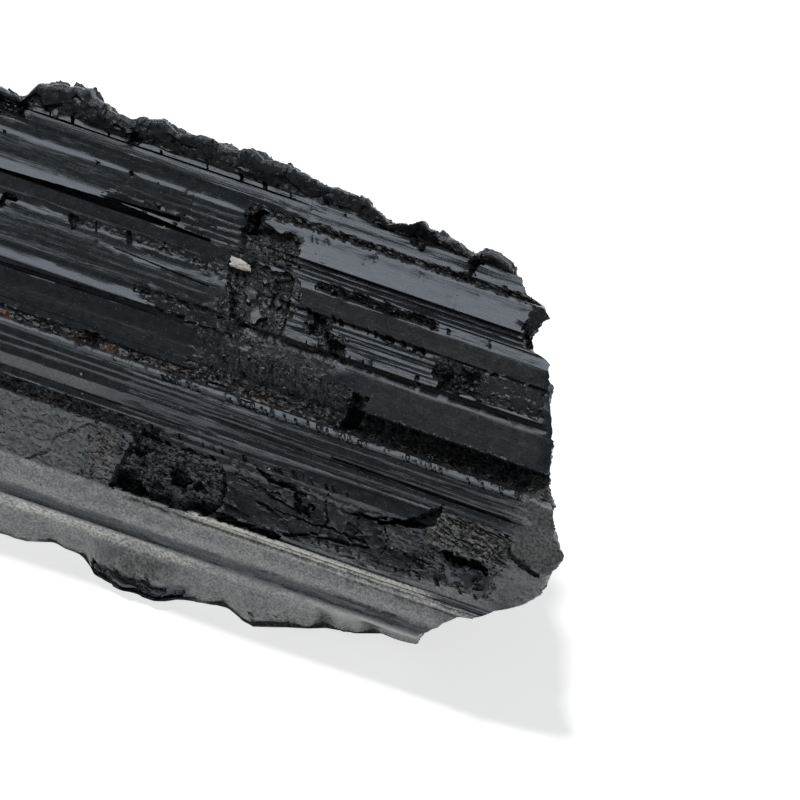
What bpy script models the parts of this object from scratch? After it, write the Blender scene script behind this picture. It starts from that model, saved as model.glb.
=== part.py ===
"""A black tourmaline crystal lying on its side: one solid, snapped off at both ends.

The crystal is a long striated prism. Across it (in Y and Z) the outline is a ring of edges, and each
face runs from one edge to the next along the whole length (X). Growth steps, ridges, chips and pits
stand on that base, and the two ends are oblique breaks.
Metres, +Z up. The origin is on the flat resting face, midway along the crystal.
Sizes are in millimetres until the mesh is made.
"""

import bpy
import numpy as np

NODE = "tourmaline_crystal"
MM = 0.001
SEED = 7

# Driving dimensions, in millimetres
RIGHT_REACH = 41.5  # from the origin to the tip of the right end
LEFT_REACH = 41.5  # from the origin to the tip of the left end
REST_FRONT = -14.9  # front edge of the flat resting face, in Y
REST_BACK = 12.0  # back edge of the flat resting face, in Y
SECTION_CENTRE = (0.5, 13.0)  # a point well inside the section, in Y and Z
FAR = 60.0  # beyond either end, for a band that runs the whole way

# Surface relief, in millimetres
STRIATION_DEPTH = 0.3
CREST_LUMPS = 0.75
CRUMBS = 0.35
BROAD_WAVES = 0.25  # how far the faces wander in and out over a centimetre or more
BREAK_WAVES = 0.7  # the same on the broken ends
BREAK_RIM = 0.4  # how far the rim of a broken end runs in and out
TERRACE_RISE = 0.8  # height of the steps in the rough zone
TERRACE_RUN = 1.5  # distance from one such step to the next

# How finely the surface is divided
SIDE_ROWS = 40  # rings of points from one end to the other
CAP_RINGS = (0.82, 0.6, 0.38, 0.18)  # rings of points on each broken end, as shares of the outline
SHARP_ANGLE = 25.0  # degrees; flatter edges than this are shaded smooth

# The outline across the crystal: edges as (Y, Z, columns of points up to the next edge).
# It starts at the back of the crest and goes over the top, down the front, under and up the back.
OUTLINE = (
    (14.4, 24.5, 3),  # back of the crest
    (12.4, 27.1, 4),  # top of the ragged crest
    (10.2, 26.7, 1),  # front of the crest
    (9.9, 26.5, 3),  # groove under the crest
    (7.9, 27.1, 2),  # end of the round ridge
    (6.4, 27.2, 3),  # bright edge along the top
    (4.2, 26.9, 1),  # end of the top face
    (3.4, 26.8, 1),  # lip of the deep groove
    (3.2, 26.3, 1),  # floor of the deep groove
    (2.7, 26.7, 3),  # start of the front
    (0.6, 25.55, 2),  # upper band
    (-0.6, 24.97, 3),  # striated ledge
    (-2.8, 23.8, 4),  # smooth band
    (-5.2, 22.05, 3),  # lip of the valley
    (-6.2, 20.8, 3),  # floor of the valley
    (-8.0, 20.7, 2),  # beaded ridge
    (-8.8, 20.6, 8),  # start of the finely striated band
    (-12.0, 16.15, 8),  # start of the rough zone
    (-14.4, 10.65, 3),  # upper edge of the sandy foot face
    (-15.0, 8.28, 3),  # blue-grey foot face
    (-14.7, 5.16, 4),  # lowest foot face
    (-15.1, 1.52, 2),  # ragged rim
    (REST_FRONT, 0.0, 10),  # front of the resting face
    (REST_BACK, 0.0, 4),  # back of the resting face
    (14.8, 3.0, 6),  # lower back
    (16.6, 10.0, 7),  # widest point of the back
    (16.2, 18.0, 6),  # upper back
)

# The break planes of each end: X where the plane crosses the origin's line, and how much X changes
# for each millimetre of Y and of Z. The surface of an end is the innermost plane at each point.
RIGHT_BREAKS = (
    (34.9, -0.6, 0.0),  # the main break, facing right and back
    (54.9, 1.3, 0.0),  # the chip facing right and front
    (27.6, 0.3, 1.2),  # the slope under the tip
    (32.5, 1.2, 2.2),  # the undercut of the lower front corner
)
LEFT_BREAKS = (
    (-40.0, 0.32, -0.12),  # the main break
    (-42.5, -0.45, 0.30),  # the upper front chip
    (-36.0, 0.10, -0.75),  # the undercut at the bottom
)

# Small spurs that stand out from the right break: Y, Z, radius and how far they stand out.
RIGHT_SPURS = (
    (6.4, 27.4, 1.2, 1.5),  # the knob at the end of the top face
    (-14.6, 4.9, 1.2, 3.6),  # the fin at the end of the foot
)

# The height up the front, v, is 27 at the crest and -12 at the foot: a turn of Y and Z.
V_FROM_Y = 0.794
V_FROM_Z = 0.608

# Growth steps on the front: v from and to, X from and to, fade across, fade along, height.
BANDS = (
    (23.1, 23.6, -FAR, FAR, 0.5, 1.0, 0.35),  # the round ridge under the crest
    (20.0, 21.3, -FAR, 7.0, 0.3, 2.0, -0.35),  # the top face, set down left of the notch
    (19.1, 19.6, -FAR, -3.0, 0.2, 2.0, 0.25),  # the bright stripe above the deep groove
    (12.4, 14.7, 11.4, 27.5, 0.3, 1.2, 0.45),  # the striated ledge
    (10.9, 11.8, -FAR, -2.5, 0.2, 1.5, 0.3),  # the light stripe on the left
    (9.4, 12.0, 20.8, FAR, 0.3, 1.0, 0.5),  # the smooth band on the right
    (7.2, 8.4, -FAR, 15.5, 0.9, 3.0, 0.85),  # the left of the valley, filled to a flat face
    (-4.6, -0.3, -FAR, -3.0, 0.6, 2.0, -0.35),  # the slab left of the torn pit
)

# Chips, pits and lumps on the front: X, v, half-length, half-width, height.
SPOTS = (
    (17.0, 24.5, 2.4, 2.2, -1.3),  # bite in the crest
    (24.0, 24.2, 1.4, 2.0, -0.9),  # small bite in the crest
    (4.4, 20.6, 2.3, 2.3, -2.2),  # the notch
    (7.6, 19.4, 3.2, 1.3, -0.8),  # chips beside the notch
    (12.8, 10.2, 4.8, 2.2, -0.7),  # crumbly patch
    (14.3, 14.2, 1.1, 0.9, -0.8),  # pit in the ledge
    (16.4, 12.7, 1.2, 1.2, -0.9),  # pit under the ledge
    (27.2, 14.3, 2.4, 1.5, -1.1),  # torn end of the ledge
    (19.6, 8.8, 1.2, 2.0, -1.3),  # hole at the start of the smooth band
    (4.2, -2.9, 5.8, 2.9, -1.5),  # the torn pit
    (28.0, 1.3, 3.2, 0.9, -1.1),  # cleft
    (33.4, -2.6, 3.2, 1.6, 0.7),  # block near the tip
    (-5.6, -12.6, 3.8, 3.0, -0.9),  # hollow in the rim
    (2.6, -12.4, 4.6, 2.8, 1.3),  # lump on the rim
)


def smooth_step(low, high, value):
    """0 at low, 1 at high, and smooth between."""
    share = np.clip((value - low) / (high - low), 0.0, 1.0)
    return share * share * (3.0 - 2.0 * share)


def stretch(value, start, end, soft):
    """1 from start to end, fading to 0 over the width soft outside them."""
    return smooth_step(start - soft, start, value) * (1.0 - smooth_step(end, end + soft, value))


def lattice_noise(x, y, z, grain, seed):
    """Smooth noise from -1 to 1 whose lumps are about as long as grain."""
    lattice = np.random.default_rng(seed).uniform(-1.0, 1.0, (32, 32, 32))
    cells = [np.floor(c / grain).astype(int) for c in (x, y, z)]
    parts = [smooth_step(0.0, 1.0, c / grain - n) for c, n in zip((x, y, z), cells)]
    total = 0.0
    for corner in np.ndindex(2, 2, 2):
        weight = 1.0
        for part, side in zip(parts, corner):
            weight = weight * (part if side else 1.0 - part)
        index = tuple((n + side) % 32 for n, side in zip(cells, corner))
        total = total + weight * lattice[index]
    return total


def flat_noise(x, v, grain, seed):
    """The same noise over two coordinates."""
    return lattice_noise(x, v, 0.0 * x, grain, seed)


def break_surface(y, z, planes, rim):
    """X of a broken end at Y and Z, no further out than the crystal's reach."""
    right = planes is RIGHT_BREAKS
    side, reach = (1.0, RIGHT_REACH) if right else (-1.0, LEFT_REACH)
    seed = SEED + (70 if right else 60)
    level = np.minimum.reduce([side * (x + per_y * y + per_z * z) for x, per_y, per_z in planes])
    level = level + flat_noise(y, z, 6.0, seed) * BREAK_WAVES
    level = level + flat_noise(y, z, 1.9, seed + 1) * rim
    for spur_y, spur_z, radius, out in RIGHT_SPURS if right else ():
        away = np.hypot(y - spur_y, z - spur_z) / radius
        level = level + out * (1.0 - smooth_step(0.4, 1.0, away))
    return side * np.minimum(level, reach)


def outline_columns():
    """Y, Z, outward normal and place in OUTLINE (edge number and share) of each column of points."""
    y, z, place = [], [], []
    for edge, (start_y, start_z, columns) in enumerate(OUTLINE):
        end_y, end_z, _ = OUTLINE[(edge + 1) % len(OUTLINE)]
        for column in range(columns):
            share = column / columns
            y.append(start_y + (end_y - start_y) * share)
            z.append(start_z + (end_z - start_z) * share)
            place.append(edge + share)
    y, z, place = np.array(y), np.array(z), np.array(place)
    run_y, run_z = np.roll(y, -1) - y, np.roll(z, -1) - z
    length = np.hypot(run_y, run_z)
    out_y, out_z = run_z / length, -run_y / length
    out_y, out_z = out_y + np.roll(out_y, 1), out_z + np.roll(out_z, 1)
    size = np.hypot(out_y, out_z)
    return y, z, out_y / size, out_z / size, place


def crest_height(x, v):
    """The ragged crest: lumps all along, and a fall towards both ends."""
    lumps = flat_noise(x, v, 2.3, SEED + 10) * CREST_LUMPS
    left_fall = smooth_step(-18.3, -21.0, x) * 2.0
    right_fall = smooth_step(12.0, 30.0, x) * 2.2
    return smooth_step(23.6, 24.6, v) * (lumps - left_fall - right_fall - 0.25)


def cross_break_height(x, v):
    """The crumbly break that runs down across the front from the notch."""
    return stretch(v, 12.6, 17.2, 1.0) * stretch(x - (17.0 - v) * 0.55, 4.6, 7.2, 1.4) * -0.8


def terrace_height(x, v):
    """The stepped breaks of the rough zone, right of the torn pit."""
    climb = (x * 0.35 + v * 0.9 + flat_noise(x, v, 4.0, SEED + 20) * 1.6) / TERRACE_RUN
    rise = (0.5 - (climb - np.floor(climb))) * TERRACE_RISE
    return rise * stretch(v, -4.6, -0.3, 0.6) * smooth_step(8.0, 11.0, x)


def grain_height(x, v):
    """Striations, crumbs where the surface is torn, and the ragged rim at the foot."""
    striated = stretch(v, -0.2, 5.6, 0.3) + 0.4 * stretch(v, 9.0, 18.0, 0.5)
    lines = flat_noise(x * 0.06, v * 2.6, 1.0, SEED + 40) * STRIATION_DEPTH * striated
    torn = smooth_step(23.8, 24.8, v) + stretch(v, -4.6, -0.3, 0.8)
    torn = torn + stretch(v, 5.8, 8.6, 0.6) * smooth_step(8.0, 14.0, x)
    crumbs = flat_noise(x, v, 1.5, SEED + 41) * CRUMBS * torn
    rim = smooth_step(-10.4, -11.8, v) * flat_noise(x, v, 2.6, SEED + 30) * 0.45
    return lines + crumbs + rim


def front_height(x, v):
    """How far the front and the top stand out from the outline."""
    height = crest_height(x, v) + cross_break_height(x, v) + terrace_height(x, v)
    height = height + grain_height(x, v)
    for low, high, start, end, soft_v, soft_x, rise in BANDS:
        height = height + stretch(v, low, high, soft_v) * stretch(x, start, end, soft_x) * rise
    for spot_x, spot_v, half_x, half_v, rise in SPOTS:
        away = np.hypot((x - spot_x) / half_x, (v - spot_v) / half_v)
        height = height + (1.0 - smooth_step(0.55, 1.0, away)) * rise
    return height


def back_height(x, place):
    """How far the back stands out: long ribs, growth steps that end abruptly, and torn patches."""
    ribs = flat_noise(x * 0.025, place * 6.0, 1.0, SEED + 50) * 0.4
    steps = np.round(flat_noise(x * 0.05, place * 1.7, 1.0, SEED + 51) * 2.0) * 0.5
    torn = smooth_step(0.42, 0.5, flat_noise(x, place * 5.0, 12.0, SEED + 52))
    crumbs = flat_noise(x, place * 4.0, 2.0, SEED + 53) * 0.6 - 0.7
    return ribs + steps + torn * crumbs


def side_points():
    """The rings of points along the crystal, as an array of rows, columns and X, Y, Z."""
    y, z, out_y, out_z, place = outline_columns()
    left = break_surface(y, z, LEFT_BREAKS, BREAK_RIM)
    right = break_surface(y, z, RIGHT_BREAKS, BREAK_RIM)
    x = left + (right - left) * np.linspace(0.0, 1.0, SIDE_ROWS)[:, None]
    y, z, place = y + 0.0 * x, z + 0.0 * x, place + 0.0 * x
    v = V_FROM_Y * y + V_FROM_Z * z
    rest_start = [edge[1] for edge in OUTLINE].index(0.0)
    last = len(OUTLINE)
    front = (place <= rest_start) + smooth_step(last - 1.0, last, place)
    back = smooth_step(rest_start + 1.0, rest_start + 2.0, place)
    back = back * (1.0 - smooth_step(last - 1.2, last, place))
    height = front * front_height(x, v) + back * back_height(x, place)
    height = height + lattice_noise(x, y, z, 13.0, SEED + 80) * BROAD_WAVES
    resting = (place >= rest_start) & (place <= rest_start + 1)
    inside = (place > rest_start) & (place < rest_start + 1)
    y = y + np.where(inside, 0.0, np.where(resting, np.sign(out_y), out_y) * height)
    z = z + np.where(resting, 0.0, out_z * height)
    return np.stack([x, y, np.maximum(z, 0.0)], axis=2)


def cap_points(ring, planes):
    """The rings of points on a broken end, from near its rim inwards, and its middle point."""
    centre_y, centre_z = SECTION_CENTRE
    rings = []
    for share in (*CAP_RINGS, 0.0):
        y = centre_y + (ring[:, 1] - centre_y) * share
        z = centre_z + (ring[:, 2] - centre_z) * share
        rings.append(np.stack([break_surface(y, z, planes, 0.0), y, z], axis=1))
    return rings[:-1], rings[-1][:1]


def ring_faces(first, second, columns):
    """Four-sided faces between two rings, given the number of the first point of each."""
    faces = []
    for column in range(columns):
        after = (column + 1) % columns
        faces.append((first + column, first + after, second + after, second + column))
    return faces


def crystal_mesh():
    """The whole crystal as one closed mesh, in metres."""
    side = side_points()
    rows, columns = side.shape[:2]
    points = [side.reshape(-1, 3)]
    faces = []
    for row in range(rows - 1):
        faces += ring_faces(row * columns, (row + 1) * columns, columns)
    count = rows * columns
    for planes, row in ((RIGHT_BREAKS, rows - 1), (LEFT_BREAKS, 0)):
        rings, middle = cap_points(side[row], planes)
        outer = row * columns
        for ring in rings:
            pair = (outer, count) if row else (count, outer)
            faces += ring_faces(*pair, columns)
            points.append(ring)
            outer = count
            count += columns
        points.append(middle)
        for column in range(columns):
            pair = (outer + column, outer + (column + 1) % columns)
            faces.append((*pair, count) if row else (*pair[::-1], count))
        count += 1
    mesh = bpy.data.meshes.new(NODE)
    mesh.from_pydata((np.concatenate(points) * MM).tolist(), [], faces)
    mesh.shade_smooth()
    mesh.set_sharp_from_angle(angle=np.radians(SHARP_ANGLE))
    return mesh


def black_mineral():
    """Near-black, glossy where a face is whole."""
    material = bpy.data.materials.new("black_tourmaline")
    material.use_nodes = True
    shader = material.node_tree.nodes["Principled BSDF"]
    shader.inputs["Base Color"].default_value = (0.018, 0.020, 0.022, 1.0)
    shader.inputs["Roughness"].default_value = 0.35
    shader.inputs["Metallic"].default_value = 0.0
    return material


def main():
    for item in list(bpy.data.objects):
        bpy.data.objects.remove(item, do_unlink=True)
    mesh = crystal_mesh()
    mesh.materials.append(black_mineral())
    crystal = bpy.data.objects.new(NODE, mesh)
    bpy.context.collection.objects.link(crystal)


main()
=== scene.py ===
"""The looks of a black tourmaline crystal: its fine surface, its dust, the light and the camera.

The fine surface is worked out on a dense grid that follows the same section and the same broken ends as
the CAD solid, then thinned to a light mesh. Sizes are in millimetres until a mesh is made.
X runs along the crystal. On the front, v is the height up the face: 27 at the crest, -12 at the foot.
"""

import bpy
import numpy as np
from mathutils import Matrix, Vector


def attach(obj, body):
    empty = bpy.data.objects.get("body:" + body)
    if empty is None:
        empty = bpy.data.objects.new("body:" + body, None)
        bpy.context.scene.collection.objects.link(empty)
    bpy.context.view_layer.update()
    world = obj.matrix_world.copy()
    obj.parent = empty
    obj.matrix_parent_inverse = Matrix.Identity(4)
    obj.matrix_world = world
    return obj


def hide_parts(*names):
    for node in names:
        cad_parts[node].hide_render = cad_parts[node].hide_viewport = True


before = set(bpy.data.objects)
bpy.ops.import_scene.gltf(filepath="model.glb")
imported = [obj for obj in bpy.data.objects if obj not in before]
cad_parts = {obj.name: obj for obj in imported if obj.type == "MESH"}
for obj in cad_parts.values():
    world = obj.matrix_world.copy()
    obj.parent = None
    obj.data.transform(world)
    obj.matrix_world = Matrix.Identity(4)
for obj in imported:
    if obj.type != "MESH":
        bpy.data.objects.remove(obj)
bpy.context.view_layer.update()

NODE = "tourmaline_crystal"
MM = 0.001
SEED = 7  # added to the seed of every random draw
FAR = 60.0  # beyond either end, for a band that runs the whole way

# ---- How many cells of chance there are before they repeat ----
NOISE_CELLS = 32
LINE_CELLS = (64, 512)
CHIP_CELLS = 128
NICK_CELLS = 256

# ---- The solid's own form, as in the CAD source ----
RIGHT_REACH = 41.5
LEFT_REACH = 41.5
REST_FRONT = -14.9
REST_BACK = 12.0
SECTION_CENTRE = (0.5, 13.0)
BROAD_WAVES = 0.25
BREAK_WAVES = 0.7
BREAK_RIM = 0.4
V_FROM_Y = 0.794  # Y and Z of the way that goes up the front
V_FROM_Z = 0.608
ALONG = np.array([1.0, 0.0, 0.0])
UP_FRONT = np.array([0.0, V_FROM_Y, V_FROM_Z])
OUT_OF_FRONT = np.array([0.0, -V_FROM_Z, V_FROM_Y])

# The outline across the crystal: edges as (Y, Z). It starts at the back of the crest and goes over the
# top, down the front, under and up the back.
OUTLINE = (
    (14.4, 24.5),  # back of the crest
    (12.4, 27.1),  # top of the ragged crest
    (10.2, 26.7),  # front of the crest
    (9.9, 26.5),  # groove under the crest
    (7.9, 27.1),  # end of the round ridge
    (6.4, 27.2),  # bright edge along the top
    (4.2, 26.9),  # end of the top face
    (3.4, 26.8),  # lip of the deep groove
    (3.2, 26.3),  # floor of the deep groove
    (2.7, 26.7),  # start of the front
    (0.6, 25.55),  # upper band
    (-0.6, 24.97),  # striated ledge
    (-2.8, 23.8),  # smooth band
    (-5.2, 22.05),  # lip of the valley
    (-6.2, 20.8),  # floor of the valley
    (-8.0, 20.7),  # beaded ridge
    (-8.8, 20.6),  # start of the finely striated band
    (-12.0, 16.15),  # start of the rough zone
    (-14.4, 10.65),  # upper edge of the sandy foot face
    (-15.0, 8.28),  # blue-grey foot face
    (-14.7, 5.16),  # lowest foot face
    (-15.1, 1.52),  # ragged rim
    (REST_FRONT, 0.0),  # front of the resting face
    (REST_BACK, 0.0),  # back of the resting face
    (14.8, 3.0),  # lower back
    (16.6, 10.0),  # widest point of the back
    (16.2, 18.0),  # upper back
)
REST_EDGE = 22  # the resting face's place in OUTLINE

RIGHT_BREAKS = (
    (34.9, -0.6, 0.0),  # the main break, facing right and back
    (54.9, 1.3, 0.0),  # the chip facing right and front
    (27.6, 0.3, 1.2),  # the slope under the tip
    (32.5, 1.2, 2.2),  # the undercut of the lower front corner
)
LEFT_BREAKS = (
    (-40.0, 0.32, -0.12),  # the main break
    (-42.5, -0.45, 0.30),  # the upper front chip
    (-36.0, 0.10, -0.75),  # the undercut at the bottom
)
RIGHT_SPURS = (
    (6.4, 27.4, 1.2, 1.5),  # the knob at the end of the top face
    (-14.6, 4.9, 1.2, 3.6),  # the fin at the end of the foot
)

# The upper edge of the crest as (X, v), the lower edge of the foot as (X, v) and the edge of the right
# end as (v, X), all as the camera sees them. The left end, out of the camera's view, is made to match.
CREST_TOP = (
    (-41, 24.6), (-37.5, 25.6), (-34, 25.1), (-30.5, 26.2), (-27, 25.7), (-23.5, 24.9), (-21.2, 24.4),
    (-20, 24.2), (-19, 26.2), (-17.5, 26.4), (-16, 27), (-14.4, 26.9), (-14, 26.4), (-11.5, 25.8),
    (-9.8, 25.8), (-7, 26.6), (-6, 26.2), (-4, 26.2), (-2, 26.5), (-0.5, 26.3), (1, 26.6), (3, 26.1),
    (6.5, 26.3), (8, 26.1), (10, 26), (12.5, 26), (13.2, 25.6), (15, 24.8), (18.1, 25.6), (20, 24.9),
    (21.9, 24.8), (22.9, 24.3), (24.2, 24.7), (25.5, 24.7), (26.5, 24.3), (28.3, 23.8),
)
FOOT_EDGE = (
    (-41, -11.2), (-34, -12.1), (-28, -11.5), (-22, -12), (-10.4, -11.8), (-8, -11.5), (-6, -11),
    (-2.4, -11.4), (-0.8, -12.5), (2, -13), (5, -12.95), (6.6, -12.4), (8, -11.8), (10.8, -11.4),
    (14.3, -12.2), (16.2, -11.5), (19, -10.8), (19.8, -10.1), (21.8, -10.4), (24, -9.5), (28.8, -9.2),
)
RIGHT_RIM = (
    (-11.8, 28.2), (-10.4, 28.8), (-9.4, 29.2), (-8.6, 29.8), (-7.1, 31.6), (-5.9, 33.4), (-5.7, 34.7),
    (-4.5, 36.4), (-3.3, 38.6), (-2, 40), (-0.1, 40.4), (1.1, 41.3), (2, 41), (4, 40.2), (5.9, 39.5),
    (7.8, 38.2), (11.1, 37.5), (13.6, 36.3), (16.3, 35), (17.6, 34.4), (18, 33.6), (18.2, 32.2),
    (19.5, 31.8), (20.2, 32.1), (21.4, 32.8), (22.1, 32.2), (22.7, 29.7), (23.3, 29.1), (24.1, 28.3),
    (24.7, 27.3), (26.4, 26.6),
)
CREST_V = 26.6  # v of the crest's upper edge, before it is moved
CREST_ROOT_V = 24.0  # v from which the crest is moved
CREST_BACK_DROP = 0.9  # how much the back of the crest is lowered
CREST_BACK_Y = (12.6, 14.4)  # from where to where that sets in
CREST_BACK_Z = (18.0, 24.5)
FOOT_V = -11.4  # v of the foot's front edge, before it is moved
FOOT_HEIGHT = 5.2  # the foot's front is moved up to this height
FOOT_LIFT = 0.55  # how far the foot's edge clears the floor
FOOT_LIFT_ENDS = -11.5  # Y where the resting face meets the floor

# ---- The fine grid ----
FRONT_PITCH = 0.078  # between columns of points on the front and the top
BACK_PITCH = 0.3  # between columns of points elsewhere
ROUNDING = 12  # times that the relief's direction is evened out
ROWS_HIDDEN = 80  # rings of points left of the seen part
ROWS_SEEN = 560  # rings of points along the seen part
HIDDEN_SHARE = 0.22  # share of the length that is left of the seen part
CAP_RINGS = 130  # rings of points on each broken end
RIM_REACH = 25  # columns over which the rim is evened out on the way into a broken end
RIM_OVER = 0.1  # how far a broken end may stand out beyond its rim, just inside it
RIM_SLOPE = 7.0  # how much further it may stand out towards its middle: at first
RIM_BULGE = 30.0  # and beyond
FACES_KEPT = 196000  # triangles left after thinning
SHARP_ANGLE = 38.0  # degrees
END_HOLLOW = 0.35  # how much the broken ends lie inside their rims
# How much more the right end does, as (v, depth).
END_DIPS = (
    (-12, 0), (-3.5, 0.4), (-1.5, 0.9), (0.6, 0.9), (2, 0), (15, 0), (18, 0.9), (22, 0.9), (24, 0.3),
)

# ---- Facets of the front: edges as (v, height above the outline), from the crest down ----
FOOT_FACETS = (
    (-7.5, 0), (-8.53, 1.15),  # sandy foot face, then the blue-grey one
    (-9.3, 0.72), (-11.1, 0.25),  # bright line, then the lowest face
)
LEFT_FACETS = (
    (26.4, 0.8), (24.55, -0.5),  # dark side of the crest
    (24.33, -0.46), (24.15, -0.36), (24.1, -0.36),  # light ledge under the crest
    (24.07, -0.7), (23.98, -0.7),  # black groove
    (23.93, 0.42), (23.4, 0.36), (23.15, 0.34),  # round ridge
    (22.95, 0.02), (22.75, -0.25),  # black line
    (21.8, -0.93), (21.52, -0.91),  # dark facet and its bright lower edge
    (19.25, -1.66), (18.99, -1.64),  # wide facet
    (18.53, -1.07), (18.38, -1.55), (18.24, -1.2), (18.2, -0.75), (18.12, -0.6),  # bright stripe
    (16.9, -0.62), (16.75, -0.8), (16.1, -0.78),  # dark facet, then a line of specks
    (16, -0.62), (15.2, -0.54), (14.3, -0.46), (12.6, -0.34),  # light band
    (12.45, -0.55), (12, -0.58), (11.12, -0.12),  # dark line, then a light stripe
    (11, -0.3), (9.2, -0.45),  # darker facet
    (7.8, 0.17), (7.05, -0.19),  # smooth facet
    (6.95, -0.35), (6.2, -0.6), (6.05, 0), (5.75, 0.02),  # crumbly groove, then the beaded ridge
    (5.5, -0.3), (5.3, -0.3), (5.2, -0.22), (4.75, -0.18), (4.65, -0.3), (4.1, -0.22),  # striated band
    (4, -0.34), (3.35, -0.24), (3.2, -0.2), (2.1, -0.75),  # and its smooth strip
    (2, -0.6), (1.4, -0.3), (1.25, -0.5), (0.3, -0.4),  # crumbly groove
    (0.1, 0.05), (-4.8, 0), (-5, 0),  # grey slab
) + FOOT_FACETS
RIGHT_FACETS = (
    (26.4, 0.7), (25, -0.3), (24.33, -0.12),  # dark side of the crest
    (23.97, 0.1), (23.35, -0.3), (23.28, -0.25), (22.75, -0.56),  # light band under the crest
    (22.65, -0.6), (22.15, -0.95), (22.06, 0.12),  # granular groove
    (21.62, -0.03), (20.9, -0.12), (19.38, -0.04),  # the bright face
    (19.28, -0.4), (19.1, -0.42), (19, -0.3), (18.85, -0.2), (18.75, -0.32), (18.53, -0.2),  # fine steps
    (18.38, -0.75), (18, -0.62), (17.95, -0.75),  # deep line
    (17.85, -0.55), (17.2, -0.2), (16.95, -0.06),  # light line
    (15.35, -0.04), (15.2, -0.35),  # smooth dark face
    (12.4, 0.42), (12.2, -0.2), (12, -0.2),  # striated ledge
    (11.4, 0.16), (9.28, 0.5), (8.4, 0.85),  # light line, then a smooth face
    (8.2, -0.3), (7.72, -0.32), (6.5, -1.1), (6.3, -1),  # valley
    (6.1, 0), (5.65, 0.02),  # beaded ridge
    (5.5, -0.3), (5.3, -0.28), (4.9, -0.1), (4.8, -0.2), (4.2, -0.04), (4.1, -0.16),  # striated band
    (3.75, -0.06), (3.65, -0.26), (3.42, -0.28), (3.32, -0.06),
    (2.4, -0.1), (1.4, 0.1), (1.2, 0), (-0.2, 0),  # smooth strip
    (-3.5, 0.1), (-3.7, 0.1), (-4.6, -0.12), (-4.75, 0.02),  # rough zone, then a blue-grey strip
    (-5, 0.04), (-5.04, -0.08), (-5.1, -0.08), (-5.14, 0.02),  # two fine grooves
    (-5.32, 0.02), (-5.36, -0.06), (-5.42, -0.06), (-5.46, 0), (-5.6, 0),
) + FOOT_FACETS
# The granular ground between them, from the torn break down to the beaded ridge.
MIDDLE_FACETS = ((10.4, 0.4), (8.4, 0.3), (7.5, 0.05), (6.5, -0.5), (6.2, -0.55), (6.1, 0))
MIDDLE_ENDS = 19.0  # X
LEFT_ENDS = 4.0  # X where the left facets stop
RIGHT_STARTS = 9.8  # X where the right facets start

# Slanting strips: X from and to, upper edge v at both ends, lower edge v at both ends, height.
STRIPS = (
    (-24, 2, 10.3, 11.3, 10.2, 10.5, -0.4),  # dark wedge under the light stripe
    (-6.2, 3, 15, 14.5, 14.85, 14.3, -0.2),  # dark slanting line
    (19, 36, 3.85, 3.6, 3.6, 3.35, -0.25),  # dark line over the cleft
)

# Black wedges under the bright stripe: X from and to, upper edge v and lower edge v at both ends; and
# their floor as (v, height).
WEDGES = (
    (-24, -8, 18.15, 18.85, 18.1, 18.05), (-8, 1.5, 18.85, 18.3, 18.05, 18.15),
    (-9.5, -1.9, 18.96, 19.3, 18.94, 18.93),
)
WEDGE_FLOOR = ((19.3, -2.5), (18.99, -2.4), (18.53, -2.26), (18.38, -2.92), (18, -3.09))

# Stepped breaks: v from and to, X from and to, rise, run, size of their lumps, how broken up.
TERRACES = ((-4.2, -0.3, 10.5, 28.5, 0.8, 1.5, 2.2, 0.08), (-0.4, 2.2, 30, 36, 0.45, 0.5, 0.8, 0.8))

# Growth lines: v from and to, X from and to, height.
LINED = (
    (2, 5.4, 0, FAR, 0.18), (3, 5.4, -FAR, -2, 0.07), (-0.2, 2, -FAR, FAR, 0.1),
    (12.35, 15.1, 10.5, 27, 0.17), (12.35, 15.1, 29.5, FAR, 0.07), (12.6, 16, -FAR, 5, 0.03),
    (19.4, 21.4, -FAR, 4, 0.025), (19.6, 21.2, -1.5, 3.6, 0.05), (18.2, 19.4, -2, 4, 0.16),
    (17, 19.1, 9.5, 33, 0.09), (22.8, 25.2, -FAR, FAR, 0.07), (19.5, 22, 9.5, FAR, 0.014),
    (-5.9, -4.7, 2, FAR, 0.2), (-4.7, -3.4, 19, FAR, 0.06), (-9.5, -8.7, -FAR, 12, 0.08),
    (-8.6, -7.4, -FAR, 28, 0.04), (10, 11.4, 2, 7, 0.1), (9, 11.4, -FAR, 2, 0.03),
)
DEEP_LINES = 0.17  # height from which the material shows them at full strength

# The growth faces stop short of the right end, along this edge as (v, X).
END_FACE = (
    (-12, 60), (-5, 60), (-4, 36.4), (3, 36.6), (6.4, 36.9), (7.8, 36.9), (11, 36.2), (13.6, 34.9),
    (16.3, 33.9), (17, 34), (17.6, 60), (27, 60),
)

# Rows of small slanting nicks: v from and to, X from and to, spacing along X, depth.
NICKS = (
    (5.6, 6.2, -FAR, 2, 1.7, 0.06),  # gaps between the beads of the ridge
    (5.4, 6.2, 2, FAR, 0.45, 0.12),
    (20.4, 21.9, 15.3, 16.2, 0.22, 0.05),  # scratches on the bright face
    (20.7, 21.9, 20.3, 21.2, 0.2, 0.05), (19.5, 21.5, 24, 24.8, 0.25, 0.04), (20.9, 22, 10, 14, 0.7, 0.05),
    (24.05, 24.8, -FAR, FAR, 2.6, 0.4), (21.4, 21.8, -FAR, 4, 3.1, 0.2), (15.7, 16.7, -12, 5, 1.5, 0.35),
    (21.9, 22.6, 8, 31, 0.6, 0.2), (17.2, 17.9, 12, 31, 1.3, 0.2), (12.2, 12.9, 10.5, 27, 1.3, 0.25),
    (20.6, 22, 12, 31, 4.6, 0.06), (-3.9, -3.2, 19, 36, 0.8, 0.3), (0.9, 1.6, 2, 22, 0.7, 0.2),
    (8, 8.5, 20, FAR, 0.7, 0.3), (14.9, 15.5, 11, 24, 1.1, 0.25),
)

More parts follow.
